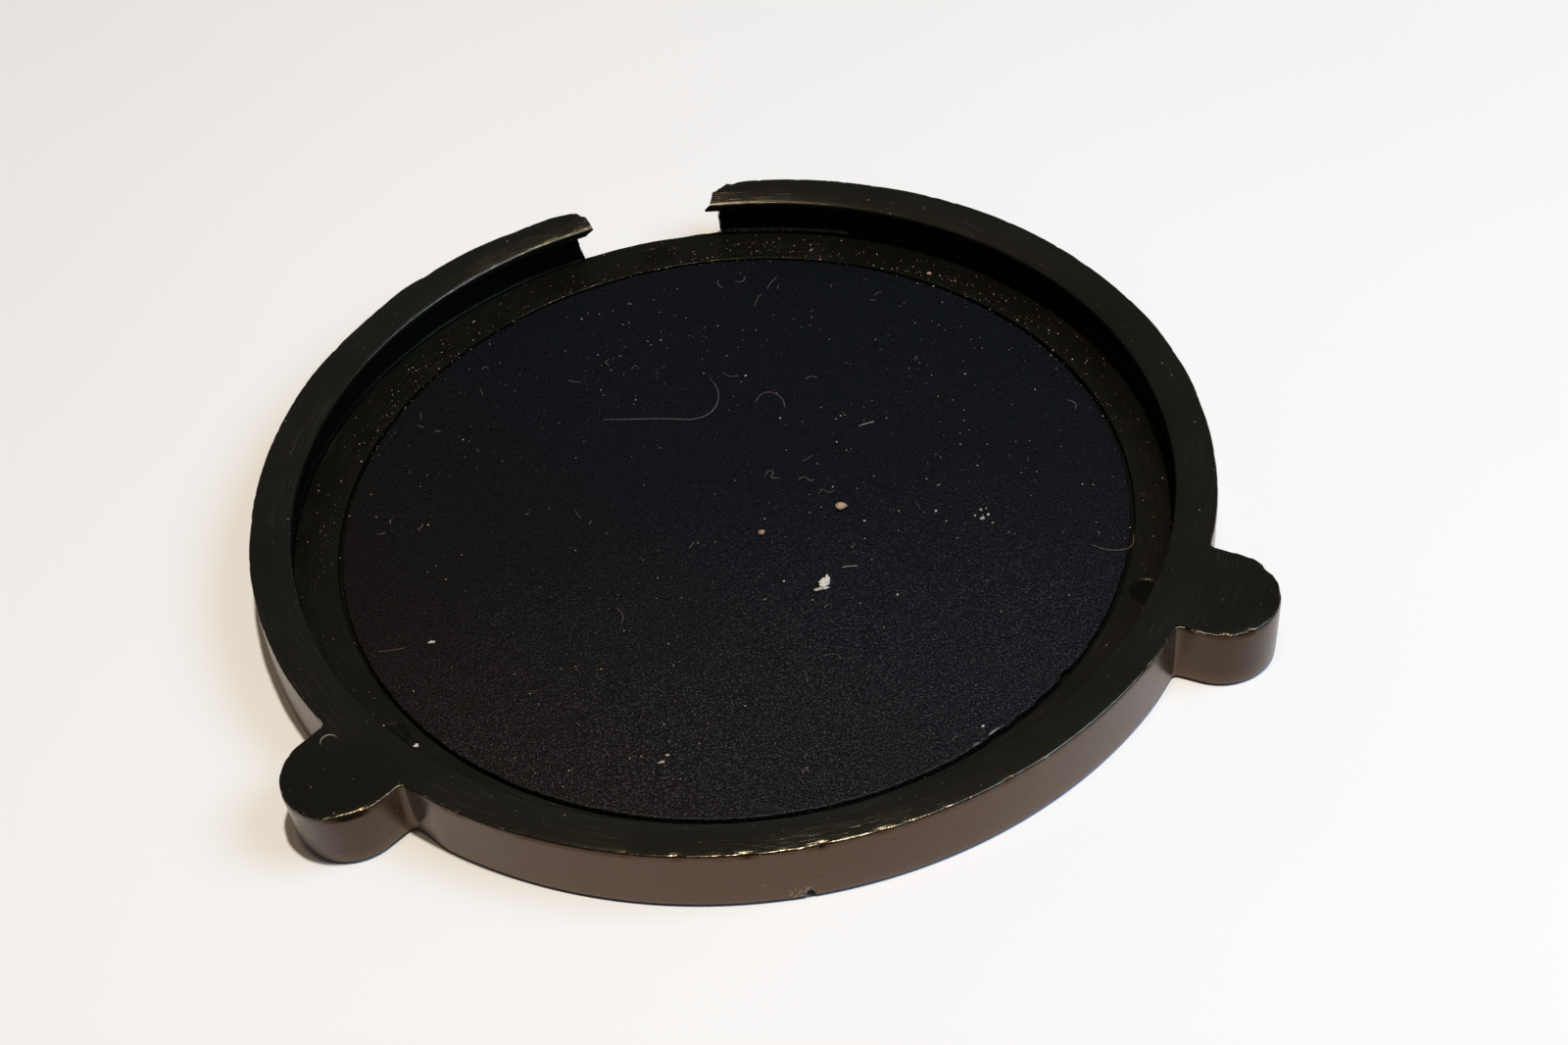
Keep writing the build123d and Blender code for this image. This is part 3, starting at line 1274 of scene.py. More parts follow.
    def torn_face(self, face: Array, seed: int) -> Array:
        """Roughens a torn end between its borders.

        Formula: inner points move along the rim by two sizes of noise; the border stays.

        Args:
            face: the end's points, shaped (across, rows, 3).
            seed: picks the noise.

        Returns:
            The roughened points.
        """
        a, b = (np.linspace(0, 1, count) for count in face.shape[:2])
        a, b = np.meshgrid(a, b, indexing="ij")
        inside = np.clip(12 * np.minimum(a * (1 - a), b * (1 - b)), 0, 1)
        rough = smooth_noise(a * 5, b * 7, 0.0, 1.0, seed) * 0.12
        rough = rough + smooth_noise(a * 12, b * 16, 0.0, 1.0, seed + 5) * 0.06
        tangent = np.stack([-face[..., 1], face[..., 0], np.zeros(face.shape[:2])], -1)
        tangent /= np.linalg.norm(tangent, axis=-1, keepdims=True)
        return face + tangent * (inside * rough)[..., None]

    def mark_wear_and_painted_light(self, mesh: bpy.types.Mesh) -> None:
        """Stores the pale chips with a painted highlight on the inside corner, the outer wall's
        painted reflection tint, and the matt finish with painted shade in the gloss.

        Args:
            mesh: the shell's mesh.
        """
        x, y, z = points_of(mesh).T
        degrees = np.degrees(np.arctan2(y, x)) % 360
        radius, depth = np.hypot(x, y), self.inside(x, y)
        # The shiny stretch is where the inside corner gets a painted highlight: pale colour and full gloss.
        shiny = (np.abs(degrees - 72) < 9.5) & (radius < self.wall_radius + 0.01)
        shiny = shiny & (z > self.floor_top + 0.02) & (z < self.floor_top + self.corner_radius * 0.8)
        set_share(mesh, "chip", self.pale_chips_and_glint(x, y, z, degrees, shiny))
        outer = depth < self.foot_radius + 0.05
        # The side share picks the outer wall for its painted brown reflection tint.
        set_share(mesh, "side", (outer & (z < self.height - 0.06)).astype(float))
        # The matt-and-shade share dulls the gloss, partly a matt finish and partly painted shade.
        set_share(mesh, "matt_and_shade", self.matt_and_shade_share(x, y, z, outer, shiny))

    def pale_chips_and_glint(self, x: Array, y: Array, z: Array, degrees: Array, shiny: Array) -> Array:
        """How much of the plastic is pale at each point, from chips and a painted highlight.

        Formula: chips are one less the distance from the top's outer edge over a quarter of a
        millimetre, times noise that leaves most of the edge dark; the torn faces, the gate's
        flake and the shiny stretch of the inside corner have shares of their own, the last a
        painted highlight.

        Args:
            x: first coordinate.
            y: second coordinate.
            z: height.
            degrees: the points' angles.
            shiny: where the inside corner shines.

        Returns:
            Numbers from 0 to 1.
        """
        radius = np.hypot(x, y)
        edge = np.hypot(np.maximum(self.inside(x, y), 0), self.height - z)
        scatter = smooth_noise(x, y, z, 0.9, 61) * 0.6 + smooth_noise(x, y, z, 0.35, 62) * 0.6
        front = 0.25 + 0.75 * smooth_step(-y, 8.0, 20.0)
        bare = np.where(radius > self.rim_radius + 0.2, -0.15, 0.2)
        chips = front * (1 - smooth_step(edge, 0.03, 0.24)) * smooth_step(scatter, bare, bare + 0.4)
        torn = (degrees > self.tear_low.angle - 1.2) & (degrees < self.tear_high.angle + 0.4)
        lip = np.where(torn & (radius > self.wall_radius - 0.2), 0.35 * smooth_step(scatter, 0.0, 0.7), 0.0)
        offset = np.radians(angle_past(degrees, self.gate_angle)) * self.rim_radius
        flake = (offset < 0.1) & (offset > -1.2) & (z < self.gate_height)
        flake = flake & (radius > self.rim_radius - 0.01)
        # The inside corner's shiny share is a painted highlight.
        return np.maximum.reduce([chips * 0.8, lip, flake * 1.0, shiny * 0.5])

    def matt_and_shade_share(self, x: Array, y: Array, z: Array, outer: Array, shiny: Array) -> Array:
        """How matt the plastic is at each point, with painted shade and light in its gloss.

        Formula: the largest of the shares of the top, the outer foot, the wall under the bead,
        the floor, its pin marks and the liner's groove. The foot, the wall under the bead, the
        groove and the floor at the back and near the wall are dulled as painted shade; the
        glossier front of the top and of the floor is painted light. The outer wall grows matt
        upwards, its glossier low part a painted reflection.

        Args:
            x: first coordinate.
            y: second coordinate.
            z: height.
            outer: where the outer wall is.
            shiny: where the inside corner shines.

        Returns:
            Numbers from 0, where it shines most, to 1.
        """
        radius = np.hypot(x, y)
        degrees = np.degrees(np.arctan2(y, x)) % 360
        # The top is glossier towards the front, painted light there, and more matt on the ears.
        matt = 0.27 - 0.17 * smooth_step(-y, 19.0, 29.0)
        matt = matt + 0.18 * smooth_step(radius, self.rim_radius, self.rim_radius + 1.0)
        # The foot is dulled as painted shade along the contact with the table.
        foot = outer * (1 - smooth_step(z, 0.10, 0.30))
        # The wall under the bead is dulled as painted shade.
        hollow = (z > self.floor_top + 0.05) & (z < self.height - self.lead_in_drop - 0.2)
        hollow = hollow & (radius < self.wall_radius + 0.06)
        floor = (radius < self.wall_radius) & (z <= self.floor_top + 0.05)
        # The bare floor is dulled as painted shade at the back and near the wall, and glossier towards the
        # front as painted light.
        shade = 0.62 - 0.20 * smooth_step(-y, 8.0, 22.0) + 0.16 * smooth_step(y, 8.0, 24.0)
        shade = shade + 0.26 * smooth_step(radius, 26.2, 28.0) * self.corner_share(degrees)
        # The liner's groove is dulled as painted shade; the pin marks are dulled so they read as dark discs.
        groove = (z < self.floor_top - 0.01) & (radius < self.recess_radius + 0.02)
        marks = np.stack(around(self.pin_circle_radius, np.array(self.pin_angles)), -1)
        nearest = np.hypot(x[:, None] - marks[:, 0], y[:, None] - marks[:, 1]).min(1)
        pin = (z < self.floor_top - 0.01) & (nearest < self.pin_radius)
        matt_and_shade = np.maximum.reduce([foot * 0.8, hollow * 0.95, floor * shade, floor * pin, groove * 0.95, matt])
        # The shiny stretch is fully glossy, part of its painted highlight.
        matt_and_shade = np.where(shiny, 0.0, matt_and_shade)
        # The outer wall is glossier low down, a painted reflection of the bright table beside the foot.
        return np.where(outer & (z > 0.30), matt_and_shade * smooth_step(z, 0.2, 1.3), matt_and_shade)


# --- the liner -------------------------------------------------------------------------------
@dataclass
class LinerDisc:
    """The thin sheet in the floor's recess, its edge frayed in places.

    Attributes:
        radius: the sheet's radius.
        base: height of its underside.
        top: height of its upper side.
        fray_angle: the middle of the stretch where the edge is lifted.
        fray_spread: how far that stretch reaches to each side.
        rough_angle: the middle of the stretch where the edge is nibbled.
        rough_spread: how far that stretch reaches to each side.
        columns: points round the edge.
    """

    radius: float
    base: float
    top: float
    fray_angle: float = -64.5
    fray_spread: float = 3.0
    rough_angle: float = -56.0
    rough_spread: float = 14.0
    columns: int = 1260

    def edge(self, degrees: Array) -> tuple[Array, Array]:
        """The sheet's ragged radius and how far its edge is lifted.

        Formula: the radius is drawn in by noise of the angle; the lift is a bell curve about
        the frayed stretch times sharper noise.

        Args:
            degrees: angles round the sheet.

        Returns:
            The radius and the lift at each angle.
        """
        x, y = around(self.radius, degrees)
        rough = np.exp(-((angle_past(degrees, self.rough_angle) / self.rough_spread) ** 2))
        nibble = 0.04 * (1 + smooth_noise(x, y, 0.0, 1.1, 71)) / 2
        nibble = nibble + 0.03 * np.maximum(smooth_noise(x, y, 0.0, 0.35, 72), 0)
        nibble = nibble + rough * (0.20 * np.maximum(smooth_noise(x, y, 0.0, 0.7, 74), 0) + 0.05)
        frayed = np.exp(-((angle_past(degrees, self.fray_angle) / self.fray_spread) ** 2))
        return self.radius - nibble, frayed * np.maximum(smooth_noise(x, y, 0.0, 0.8, 73) + 0.5, 0) * 0.10

    def build(self) -> bpy.types.Object:
        """Makes the sheet as one closed disc.

        Formula: rings from the centre of the upper side out over the rounded edge and back
        under to the centre. The upper side has a slow ripple of a few hundredths.

        Returns:
            The sheet, with its attributes for the lifted edge's painted glint, the front's
            painted glints and the browner side.
        """
        degrees = np.linspace(0, 360, self.columns, endpoint=False)
        ragged, lift = self.edge(degrees)
        insets = np.array(
            [0.0, 0.012, 0.04, 0.1, 0.2, 0.35, 0.55, 0.8, 1.2, 2.0, 3.5, 6.0, 9.0, 13.0, 17.0, 21.0, 24.0]
        )
        drops = np.array([0.09, 0.035, 0.01, 0.0] + [0.0] * (len(insets) - 4))
        radius = ragged[None, :] - insets[:, None]
        x, y = around(radius, degrees[None, :])
        curl = lift[None, :] * np.clip(1 - insets / 0.5, 0, 1)[:, None] ** 1.5
        ripple = 0.02 * smooth_noise(x, y, 0.0, 5.0, 75) + 0.008 * smooth_noise(x, y, 0.0, 1.3, 76)
        z = self.top - drops[:, None] * 0.8 + curl + ripple * np.clip(insets / 1.0, 0, 1)[:, None]
        upper = np.stack([x, y, z], -1)[::-1]
        centre = np.zeros((1, self.columns, 3))
        centre[..., 2] = self.top
        low_rings = []
        for inset in (0.0, 1.0, 8.0, 16.0, 22.0):
            lx, ly = around(ragged - inset, degrees)
            rise = lift * 0.9 if inset == 0.0 else 0.0
            low_rings.append(np.stack([lx, ly, np.full_like(lx, self.base) + rise], -1))
        floor = np.zeros((1, self.columns, 3))
        floor[..., 2] = self.base
        work = Patchwork()
        work.add_grid(np.concatenate([centre, upper, np.stack(low_rings), floor]), closed=True)
        sheet = work.build("liner_sheet_skin", 50.0)
        self.mark_fray_and_glints(sheet.data)
        return sheet

    def mark_fray_and_glints(self, mesh: bpy.types.Mesh) -> None:
        """Stores where the sheet's lifted edge has a painted glint, where the grain's painted
        glints grow towards the front, and where its colour turns browner.

        Args:
            mesh: the sheet's mesh.
        """
        x, y, z = points_of(mesh).T
        # The lifted, frayed edge gets a pale painted glint.
        lifted = smooth_step(z, self.top + 0.02, self.top + 0.07)
        set_share(mesh, "lifted_edge_and_glint", lifted * smooth_step(np.hypot(x, y), self.radius - 0.3, self.radius - 0.15))
        # The front share makes the grain's painted glints denser towards the front.
        set_share(mesh, "front", smooth_step(-y - 0.15 * np.abs(x), -6.0, 20.0))
        set_share(mesh, "brown", smooth_step(-0.9 * x - 0.45 * y, -2.0, 22.0))


# --- dust, crumbs and hairs ------------------------------------------------------------------
@dataclass(frozen=True)
class Crumb:
    """One lumpy crumb.

    Attributes:
        place: where it lies.
        size: its half sizes.
        rough: how lumpy it is, from 0 to 1.
        tone: how pale it is, from 0 to 1.
        seed: picks its lumps.
    """

    place: tuple[float, float]
    size: Triple
    rough: float
    tone: float
    seed: int

    def surface(self, ground: float, rows: int = 13, columns: int = 20) -> Array:
        """The crumb as a grid from its upper pole to its lower one.

        Formula: a ball's directions, each lengthened or shortened by two sizes of noise and
        stretched to the half sizes. It rests on the ground.

        Args:
            ground: height of what it lies on.
            rows: points from pole to pole.
            columns: points round it.

        Returns:
            Points shaped (rows, columns, 3).
        """
        down = np.linspace(0, np.pi, rows)[:, None]
        turn = np.linspace(0, 2 * np.pi, columns, endpoint=False)[None, :]
        x, y = np.sin(down) * np.cos(turn), np.sin(down) * np.sin(turn)
        z = np.cos(down) + 0 * turn
        ball = np.stack([x, y, z], -1)
        lumps = smooth_noise(x, y, z, 0.9, self.seed) + 0.6 * smooth_noise(x, y, z, 0.35, self.seed + 1)
        shape = ball * (1 + self.rough * lumps)[..., None] * np.array(self.size)
        return shape + np.array([*self.place, ground - shape[..., 2].min()])


@dataclass(frozen=True)
class Fibre:
    """A thin hair or thread along a smooth path.

    Attributes:
        path: the points it passes, with their height above the ground.
        radius: half its thickness.
        tone: how pale it is, from 0 to 1.
    """

    path: tuple[Triple, ...]
    radius: float
    tone: float

    def surface(self, ground: float, rows: int = 28, sides: int = 5) -> Array:
        """The fibre as a tube that closes to a point at both ends.

        Formula: the path's corners are cut three times over, then points are spaced evenly
        along it; each has a ring across the path, thin towards the ends.

        Args:
            ground: height of what it lies on.
            rows: rings along it.
            sides: points round a ring.

        Returns:
            Points shaped (rows, sides, 3).
        """
        line = np.array(self.path)
        for _ in range(3):
            near, far = 0.75 * line[:-1] + 0.25 * line[1:], 0.25 * line[:-1] + 0.75 * line[1:]
            line = np.concatenate([line[:1], np.stack([near, far], 1).reshape(-1, 3), line[-1:]])
        length = np.concatenate([[0.0], np.cumsum(np.linalg.norm(np.diff(line, axis=0), axis=1))])
        where = np.linspace(0, length[-1], rows)
        line = np.stack([np.interp(where, length, line[:, k]) for k in range(3)], -1)
        ahead = np.gradient(line, axis=0)
        ahead /= np.linalg.norm(ahead, axis=1, keepdims=True)
        side = np.cross(ahead, [0.0, 0.0, 1.0])
        side /= np.linalg.norm(side, axis=1, keepdims=True)
        over = np.cross(side, ahead)
        share = np.linspace(0, 1, rows)
        thick = self.radius * np.clip(8 * np.minimum(share, 1 - share), 0, 1) ** 0.5
        turn = np.linspace(0, 2 * np.pi, sides, endpoint=False)
        ring = side[:, None] * np.cos(turn)[None, :, None] + over[:, None] * np.sin(turn)[None, :, None]
        return line[:, None] + ring * thick[:, None, None] + [0.0, 0.0, ground + self.radius]


@dataclass
class Litter:
    """Everything that lies in the cap without belonging to it.

    Attributes:
        sheet_top: height of the sheet.
        floor_top: height of the bare floor round it.
        sheet_radius: where the sheet ends.
        floor_radius: where the floor ends.
        seed: starts the random numbers.
        fleck_count: how many grains of dust there are.
        ring_share: the share of them that lies on the bare ring.
        lint_count: how many random threads there are.
        lint_radius: half their thickness.
        crumbs: the crumbs.
        fibres: the hair and the larger threads.
    """

    sheet_top: float
    sheet_radius: float
    floor_top: float = 1.1
    floor_radius: float = 27.9
    seed: int = 407
    fleck_count: int = 1400
    ring_share: float = 0.28
    lint_count: int = 40
    lint_radius: float = 0.010
    crumbs: tuple[Crumb, ...] = (
        Crumb((6.5, -2.0), (0.36, 0.32, 0.20), 0.30, 0.15, 101),
        Crumb((1.25, -2.8), (0.25, 0.20, 0.13), 0.30, 0.0, 103),
        Crumb((4.05, -8.2), (0.26, 0.28, 0.16), 0.75, 1.0, 105),
        Crumb((4.35, -7.85), (0.13, 0.26, 0.10), 0.8, 1.0, 106),
        Crumb((3.78, -8.5), (0.26, 0.09, 0.08), 0.8, 0.95, 107),
        Crumb((14.8, -5.34), (0.15, 0.11, 0.10), 0.4, 0.3, 109),
        Crumb((15.2, -5.05), (0.10, 0.08, 0.07), 0.4, 0.6, 111),
        Crumb((14.4, -4.9), (0.07, 0.07, 0.06), 0.4, 0.0, 113),
        Crumb((15.3, -5.8), (0.08, 0.07, 0.06), 0.4, 0.1, 115),
        Crumb((14.9, -4.5), (0.07, 0.08, 0.06), 0.4, 0.7, 116),
        Crumb((-19.95, -6.5), (0.19, 0.08, 0.07), 0.5, 0.9, 117),
        Crumb((-7.94, -19.37), (0.17, 0.08, 0.06), 0.5, 0.25, 119),
        Crumb((-7.5, -18.95), (0.10, 0.06, 0.05), 0.5, 0.6, 120),
        Crumb((17.47, 18.95), (0.20, 0.12, 0.09), 0.4, 0.25, 121),
        Crumb((10.44, -21.57), (0.11, 0.08, 0.07), 0.4, 0.9, 123),
        Crumb((3.12, 12.04), (0.07, 0.06, 0.055), 0.4, 0.9, 125),
        Crumb((4.49, 7.31), (0.07, 0.06, 0.055), 0.4, 0.9, 127),
        Crumb((7.66, -3.5), (0.07, 0.06, 0.055), 0.4, 0.8, 129),
        Crumb((12.17, -3.84), (0.07, 0.06, 0.055), 0.4, 0.9, 131),
        Crumb((1.74, -7.25), (0.07, 0.06, 0.055), 0.4, 0.8, 133),
        Crumb((8.16, -10.18), (0.07, 0.06, 0.055), 0.4, 0.9, 135),
        Crumb((-23.4, -12.4), (0.10, 0.07, 0.06), 0.4, 0.9, 137),
        Crumb((-21.6, -14.4), (0.13, 0.09, 0.07), 0.6, 0.9, 139),
        Crumb((-22.6, -13.8), (0.06, 0.05, 0.05), 0.4, 0.6, 141),
    )
    fibres: tuple[Fibre, ...] = (
        Fibre(
            ((-6.96, 10.52, 0.0), (-4.8, 9.9, 0.05), (-2.66, 9.3, 0.1), (-0.94, 8.6, 0.1), (0.5, 9.0, 0.2),
             (1.15, 10.5, 0.5), (0.6, 11.8, 0.9)), 0.013, 0.62,
        ),
        Fibre(((9.25, 5.15, 0.0), (9.8, 5.2, 0.08), (10.4, 5.3, 0.0)), 0.036, 0.64),
        Fibre(((-3.4, -2.8, 0.0), (-3.17, -2.6, 0.03), (-2.95, -2.35, 0.0)), 0.014, 0.31),
        Fibre(((5.4, -6.99, 0.0), (5.9, -7.07, 0.05), (6.4, -7.14, 0.0)), 0.029, 0.68),
        Fibre(((6.85, 10.64, 0.0), (7.3, 10.85, 0.05), (7.71, 10.6, 0.0)), 0.014, 0.27),
        Fibre(
            ((2.4, 2.2, 0.0), (2.84, 2.7, 0.1), (3.1, 2.3, 0.1), (2.7, 2.0, 0.0), (3.4, 1.8, 0.0)),
            0.014, 0.27,
        ),
        Fibre(((4.4, 1.3, 0.0), (4.9, 1.5, 0.1), (5.1, 0.9, 0.1), (5.5, 1.1, 0.0)), 0.014, 0.27),
        Fibre(((5.4, -0.3, 0.0), (5.8, 0.1, 0.1), (6.0, -0.4, 0.0), (6.5, -0.2, 0.0)), 0.012, 0.23),
        Fibre(
            ((3.2, 9.2, 0.0), (3.6, 9.9, 0.08), (4.4, 10.1, 0.08), (5.1, 9.2, 0.05), (5.0, 8.1, 0.0)),
            0.014, 0.23,
        ),
        Fibre(((7.26, 21.78, 0.0), (6.7, 21.2, 0.08), (6.3, 20.6, 0.03)), 0.015, 0.20),
        Fibre(((5.9, 20.3, 0.0), (5.45, 19.8, 0.06), (5.12, 19.09, 0.0)), 0.015, 0.18),
        Fibre(((-23.25, -6.33, 0.0), (-22.4, -6.5, 0.05), (-21.47, -6.45, 0.0)), 0.015, 0.07),
        Fibre(((20.6, -9.2, 0.0), (21.5, -10.1, 0.05), (22.9, -10.3, 0.08), (23.4, -9.0, 0.0)), 0.015, 0.27),
        Fibre(((-8.6, -6.6, 0.0), (-8.2, -7.4, 0.05), (-8.5, -8.0, 0.0)), 0.012, 0.31),
    )

    def ground(self, x: Array, y: Array) -> Array:
        """Height of the sheet or of the bare floor under each point."""
        return np.where(np.hypot(x, y) < self.sheet_radius, self.sheet_top, self.floor_top)

    def gather(self, name: str, bits: tuple[Crumb | Fibre, ...]) -> bpy.types.Object:
        """Makes one piece of several crumbs or fibres, each with its tone.

        Args:
            name: the piece's name.
            bits: what it is gathered from.

        Returns:
            The piece, with its tone attribute.
        """
        work = Patchwork()
        spots, tones = [], []
        for bit in bits:
            start = np.array(bit.place if isinstance(bit, Crumb) else bit.path[0][:2])
            surface = bit.surface(float(self.ground(*start)))
            work.add_grid(surface, closed=True)
            spots.append(surface.reshape(-1, 3).mean(0))
            tones.append(bit.tone)
        piece = work.build(name, 60.0)
        nearest = np.linalg.norm(points_of(piece.data)[:, None] - np.array(spots)[None], axis=2).argmin(1)
        set_share(piece.data, "tone", np.array(tones)[nearest])
        return piece

    def scatter(self, rng: np.random.Generator, count: int) -> Array:
        """Random places on the sheet and the floor, thicker in the patches where dust gathered.

        Formula: most places fall in round and long patches, each a normal spread about its
        middle, and the rest on the bare ring's far half; places past the floor's edge are
        pulled back inside it.

        Args:
            rng: the source of random numbers.
            count: how many places.

        Returns:
            x and y, shaped (count, 2).
        """
        patches = np.array([
            (0.0, 0.0, 16.0, 14.0), (12.0, -2.0, 6.0, 6.0), (-3.0, 17.0, 6.0, 3.0), (19.0, 14.0, 4.0, 7.0),
            (7.0, 25.3, 5.0, 0.9), (-8.0, -16.0, 7.0, 4.0), (-20.0, 15.0, 4.0, 6.0),
        ])
        share = np.array([0.30, 0.20, 0.12, 0.12, 0.08, 0.08, 0.10])
        patch = patches[rng.choice(len(patches), count, p=share)]
        spots = patch[:, :2] + rng.normal(size=(count, 2)) * patch[:, 2:]
        in_ring = rng.random(count) < self.ring_share
        out = self.sheet_radius + 0.3 + 2.6 * rng.random(count)
        ring = np.stack(around(out, 175 * rng.random(count)), -1)
        spots = np.where(in_ring[:, None], ring, spots)
        far = np.hypot(*spots.T)
        limit = self.floor_radius - 0.3 - 3.0 * rng.random(count)
        return spots * np.minimum(1.0, limit / far)[:, None]

    def flecks(self) -> bpy.types.Object:
        """Makes the dust: hundreds of tiny eight-sided grains.

        Formula: the six points of an octahedron, stretched and turned at random, stand at each
        place; most grains are a few hundredths of a millimetre and a few reach a tenth.

        Returns:
            The grains as one piece, with its tone attribute.
        """
        rng = np.random.default_rng(self.seed)
        spots = self.scatter(rng, self.fleck_count)
        size = 0.016 + 0.05 * rng.random(self.fleck_count) ** 3.5
        stretch = size[:, None] * (0.6 + 0.9 * rng.random((self.fleck_count, 3)))
        corners = np.array([(1, 0, 0), (0, 1, 0), (-1, 0, 0), (0, -1, 0), (0, 0, 1), (0, 0, -1)], float)
        turn = 2 * np.pi * rng.random(self.fleck_count)
        local = corners[None] * stretch[:, None]
        c, s = np.cos(turn)[:, None], np.sin(turn)[:, None]
        x = local[..., 0] * c - local[..., 1] * s + spots[:, :1]
        y = local[..., 0] * s + local[..., 1] * c + spots[:, 1:]
        z = local[..., 2] + (self.ground(*spots.T) + stretch[:, 2] * 0.9)[:, None]
        sides = [(0, 1, 4), (1, 2, 4), (2, 3, 4), (3, 0, 4), (1, 0, 5), (2, 1, 5), (3, 2, 5), (0, 3, 5)]
        faces = (np.array(sides)[None] + 6 * np.arange(self.fleck_count)[:, None, None]).reshape(-1, 3)
        piece = make_piece("dust_flecks", np.stack([x, y, z], -1).reshape(-1, 3), faces)
        set_share(piece.data, "tone", np.repeat(rng.random(self.fleck_count), 6))
        return piece

    def lint(self) -> tuple[Fibre, ...]:
        """Short curved threads at random places, besides the named fibres.

        Returns:
            The named fibres followed by the random ones.
        """
        rng = np.random.default_rng(self.seed + 1)
        spots = self.scatter(rng, self.lint_count) * 0.86
        heading, curl = 2 * np.pi * rng.random(self.lint_count), rng.normal(size=self.lint_count) * 0.9
        length = 0.12 + 0.38 * rng.random(self.lint_count) ** 2
        tone = 0.2 + 0.6 * rng.random(self.lint_count)
        threads = []
        for (x, y), angle, bend, reach, pale in zip(spots, heading, curl, length, tone):
            steps = [(x, y, 0.0)]
            for k in range(3):
                (px, py, _), ahead = steps[-1], angle + bend * k
                steps.append((px + reach * np.cos(ahead), py + reach * np.sin(ahead), 0.03))
            threads.append(Fibre(tuple(steps), self.lint_radius, pale))
        return self.fibres + tuple(threads)

    def build(self) -> None:
        """Makes and dresses the crumbs, the fibres and the dust."""
        crumb = Grit("crumb", (0.40, 0.24, 0.13), (0.66, 0.62, 0.55), 0.8)
        dress(self.gather("crumbs", self.crumbs), crumb.make())
        lint = Grit("lint", (0.20, 0.09, 0.07), (0.36, 0.37, 0.36), 0.6)
        dress(self.gather("fibres", self.lint()), lint.make())
        dust = Grit("dust", (0.42, 0.20, 0.06), (0.50, 0.50, 0.48), 0.7)
        dress(self.flecks(), dust.make())


# --- camera, lights and table ----------------------------------------------------------------
@dataclass(frozen=True)
class SoftLight:
    """A soft rectangular light aimed at the cap.

    Attributes:
        name: the light's name.
        azimuth: where it stands, in degrees from +X.
        elevation: its height above the table, in degrees.
        distance: how far it is, in metres.
        size: its side, in metres.
        power: in watts.
        colour: its colour.
    """

    name: str
    azimuth: float
    elevation: float
    distance: float
    size: float
    power: float
    colour: Colour

    def place(self) -> None:
        """Puts the light in the scene."""
        data = bpy.data.lights.new(self.name, "AREA")
        data.size = self.size
        data.energy = self.power
        data.color = self.colour
        light = bpy.data.objects.new(self.name, data)
        bpy.context.scene.collection.objects.link(light)
        up = np.radians(self.elevation)
        x, y = around(self.distance * np.cos(up), self.azimuth)
        light.location = (x, y, self.distance * np.sin(up))
        light.rotation_euler = (-light.location).to_track_quat("-Z", "Y").to_euler()


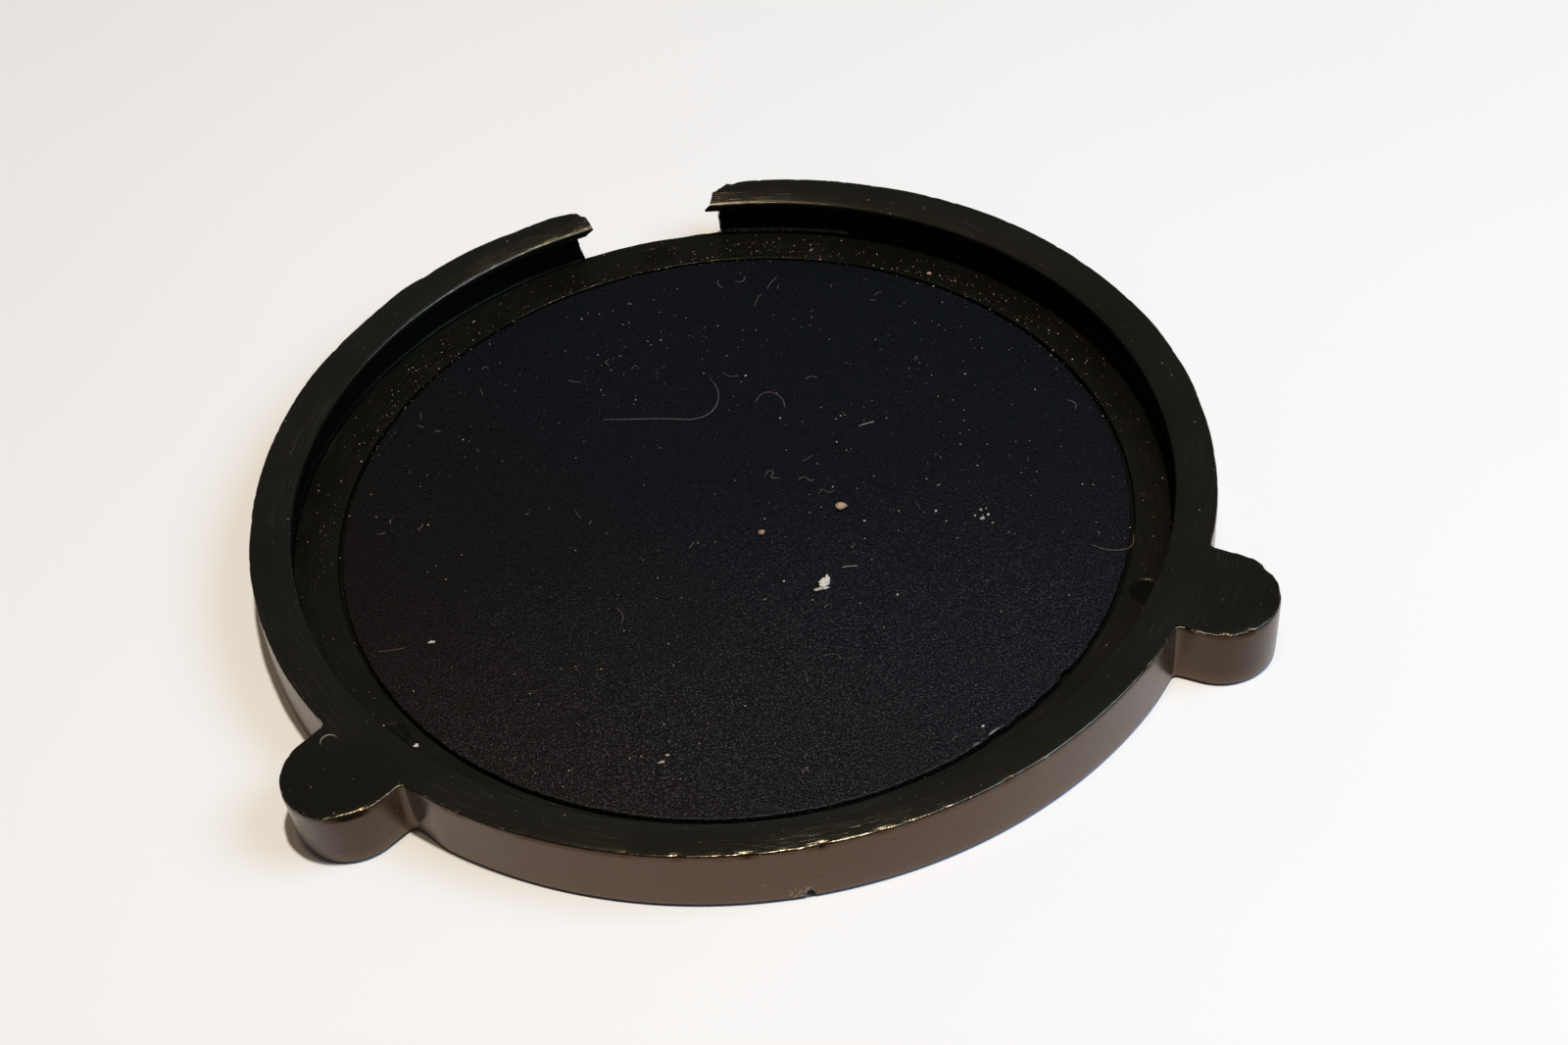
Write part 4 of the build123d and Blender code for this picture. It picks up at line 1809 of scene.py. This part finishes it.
@dataclass(frozen=True)
class Studio:
    """The camera, the lights and the pale table.

    Attributes:
        camera_azimuth: where the camera stands, in degrees from +X.
        camera_elevation: its height above the table, in degrees.
        camera_distance: how far it is from the origin, in metres.
        camera_roll: how far it is turned about its own axis, in degrees.
        aim: the point on the table it looks at, in metres.
        lens: its focal length on a 36 mm wide frame.
        room_colour: the colour of the room's own light.
        room_strength: how strong that light is.
        table_half: half the table's side, in metres.
        lights: the lights.
    """

    camera_azimuth: float = -96.1
    camera_elevation: float = 44.5
    camera_distance: float = 0.15271
    camera_roll: float = -5.68
    aim: Triple = (0.00294, -0.00106, 0.0)
    lens: float = 55.2
    room_colour: Colour = (0.84, 0.82, 0.90)
    room_strength: float = 0.085
    table_half: float = 1.5
    lights: tuple[SoftLight, ...] = (
        SoftLight("ceiling", -58.0, 81.0, 0.50, 0.022, 2.01, (1.0, 0.925, 0.80)),
        SoftLight("warm_lamp", -140.0, 84.0, 0.60, 0.05, 0.32, (1.0, 0.62, 0.28)),
        SoftLight("window", -20.0, 48.0, 0.42, 0.22, 0.58, (0.66, 1.0, 1.52)),
    )

    def place(self) -> None:
        """Puts the camera, the lights, the world and the table in the scene."""
        self.place_camera()
        for light in self.lights:
            light.place()
        world = bpy.data.worlds.new("room")
        world.use_nodes = True
        back = world.node_tree.nodes["Background"]
        back.inputs["Color"].default_value = (*self.room_colour, 1.0)
        back.inputs["Strength"].default_value = self.room_strength
        bpy.context.scene.world = world
        bpy.context.scene.view_settings.view_transform = "Standard"
        self.place_table()

    def place_camera(self) -> None:
        """Stands the camera at its place, level line turned by the roll."""
        data = bpy.data.cameras.new("camera")
        data.sensor_width = 36.0
        data.lens = self.lens
        data.clip_start = 0.005
        camera = bpy.data.objects.new("camera", data)
        bpy.context.scene.collection.objects.link(camera)
        up = np.radians(self.camera_elevation)
        x, y = around(self.camera_distance * np.cos(up), self.camera_azimuth)
        place = Vector((x, y, self.camera_distance * np.sin(up)))
        forward = (Vector(self.aim) - place).normalized()
        side = forward.cross(Vector((0, 0, 1))).normalized()
        top = side.cross(forward)
        roll = np.radians(self.camera_roll)
        side, top = side * np.cos(roll) + top * np.sin(roll), top * np.cos(roll) - side * np.sin(roll)
        turn = Matrix((side, top, -forward)).transposed().to_4x4()
        camera.matrix_world = Matrix.Translation(place) @ turn
        bpy.context.scene.camera = camera

    def place_table(self) -> None:
        """Lays a wide flat table just under the cap."""
        half = self.table_half
        corners = np.array([[-half, -half, 0], [half, -half, 0], [half, half, 0], [-half, half, 0]])
        mesh = bpy.data.meshes.new("table")
        mesh.from_pydata(corners.tolist(), [], [(0, 1, 2, 3)])
        table = bpy.data.objects.new("table", mesh)
        bpy.context.scene.collection.objects.link(table)
        table.data.materials.append(PaleTable().make())


def main() -> None:
    """Builds every piece in order, dresses it and sets up the studio."""
    logging.basicConfig(level=logging.INFO, format="%(name)s %(message)s")
    Studio().place()
    low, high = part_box("cap_shell")
    bead = next(m for m in frame["record"]["mounts"] if m["name"] == "snap_bead")
    shell = CapShell(
        rim_radius=min(high.x, -low.x) / MM, height=high.z / MM, bead_radius=bead["dims"]["r_mm"]
    ).build()
    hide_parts("cap_shell")
    dress(shell, MouldedPlastic().make())
    low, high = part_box("liner_disc")
    sheet = LinerDisc(radius=high.x / MM, base=low.z / MM, top=high.z / MM).build()
    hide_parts("liner_disc")
    dress(sheet, LinerSheet().make())
    Litter(sheet_top=high.z / MM, sheet_radius=high.x / MM).build()
    film = frame["nodes"]["liner_adhesive"]
    film.data.materials.clear()
    film.data.materials.append(Grit("adhesive_film", (0.06, 0.05, 0.035), (0.04, 0.034, 0.026), 0.5).make())


if __name__ == "__main__":
    main()
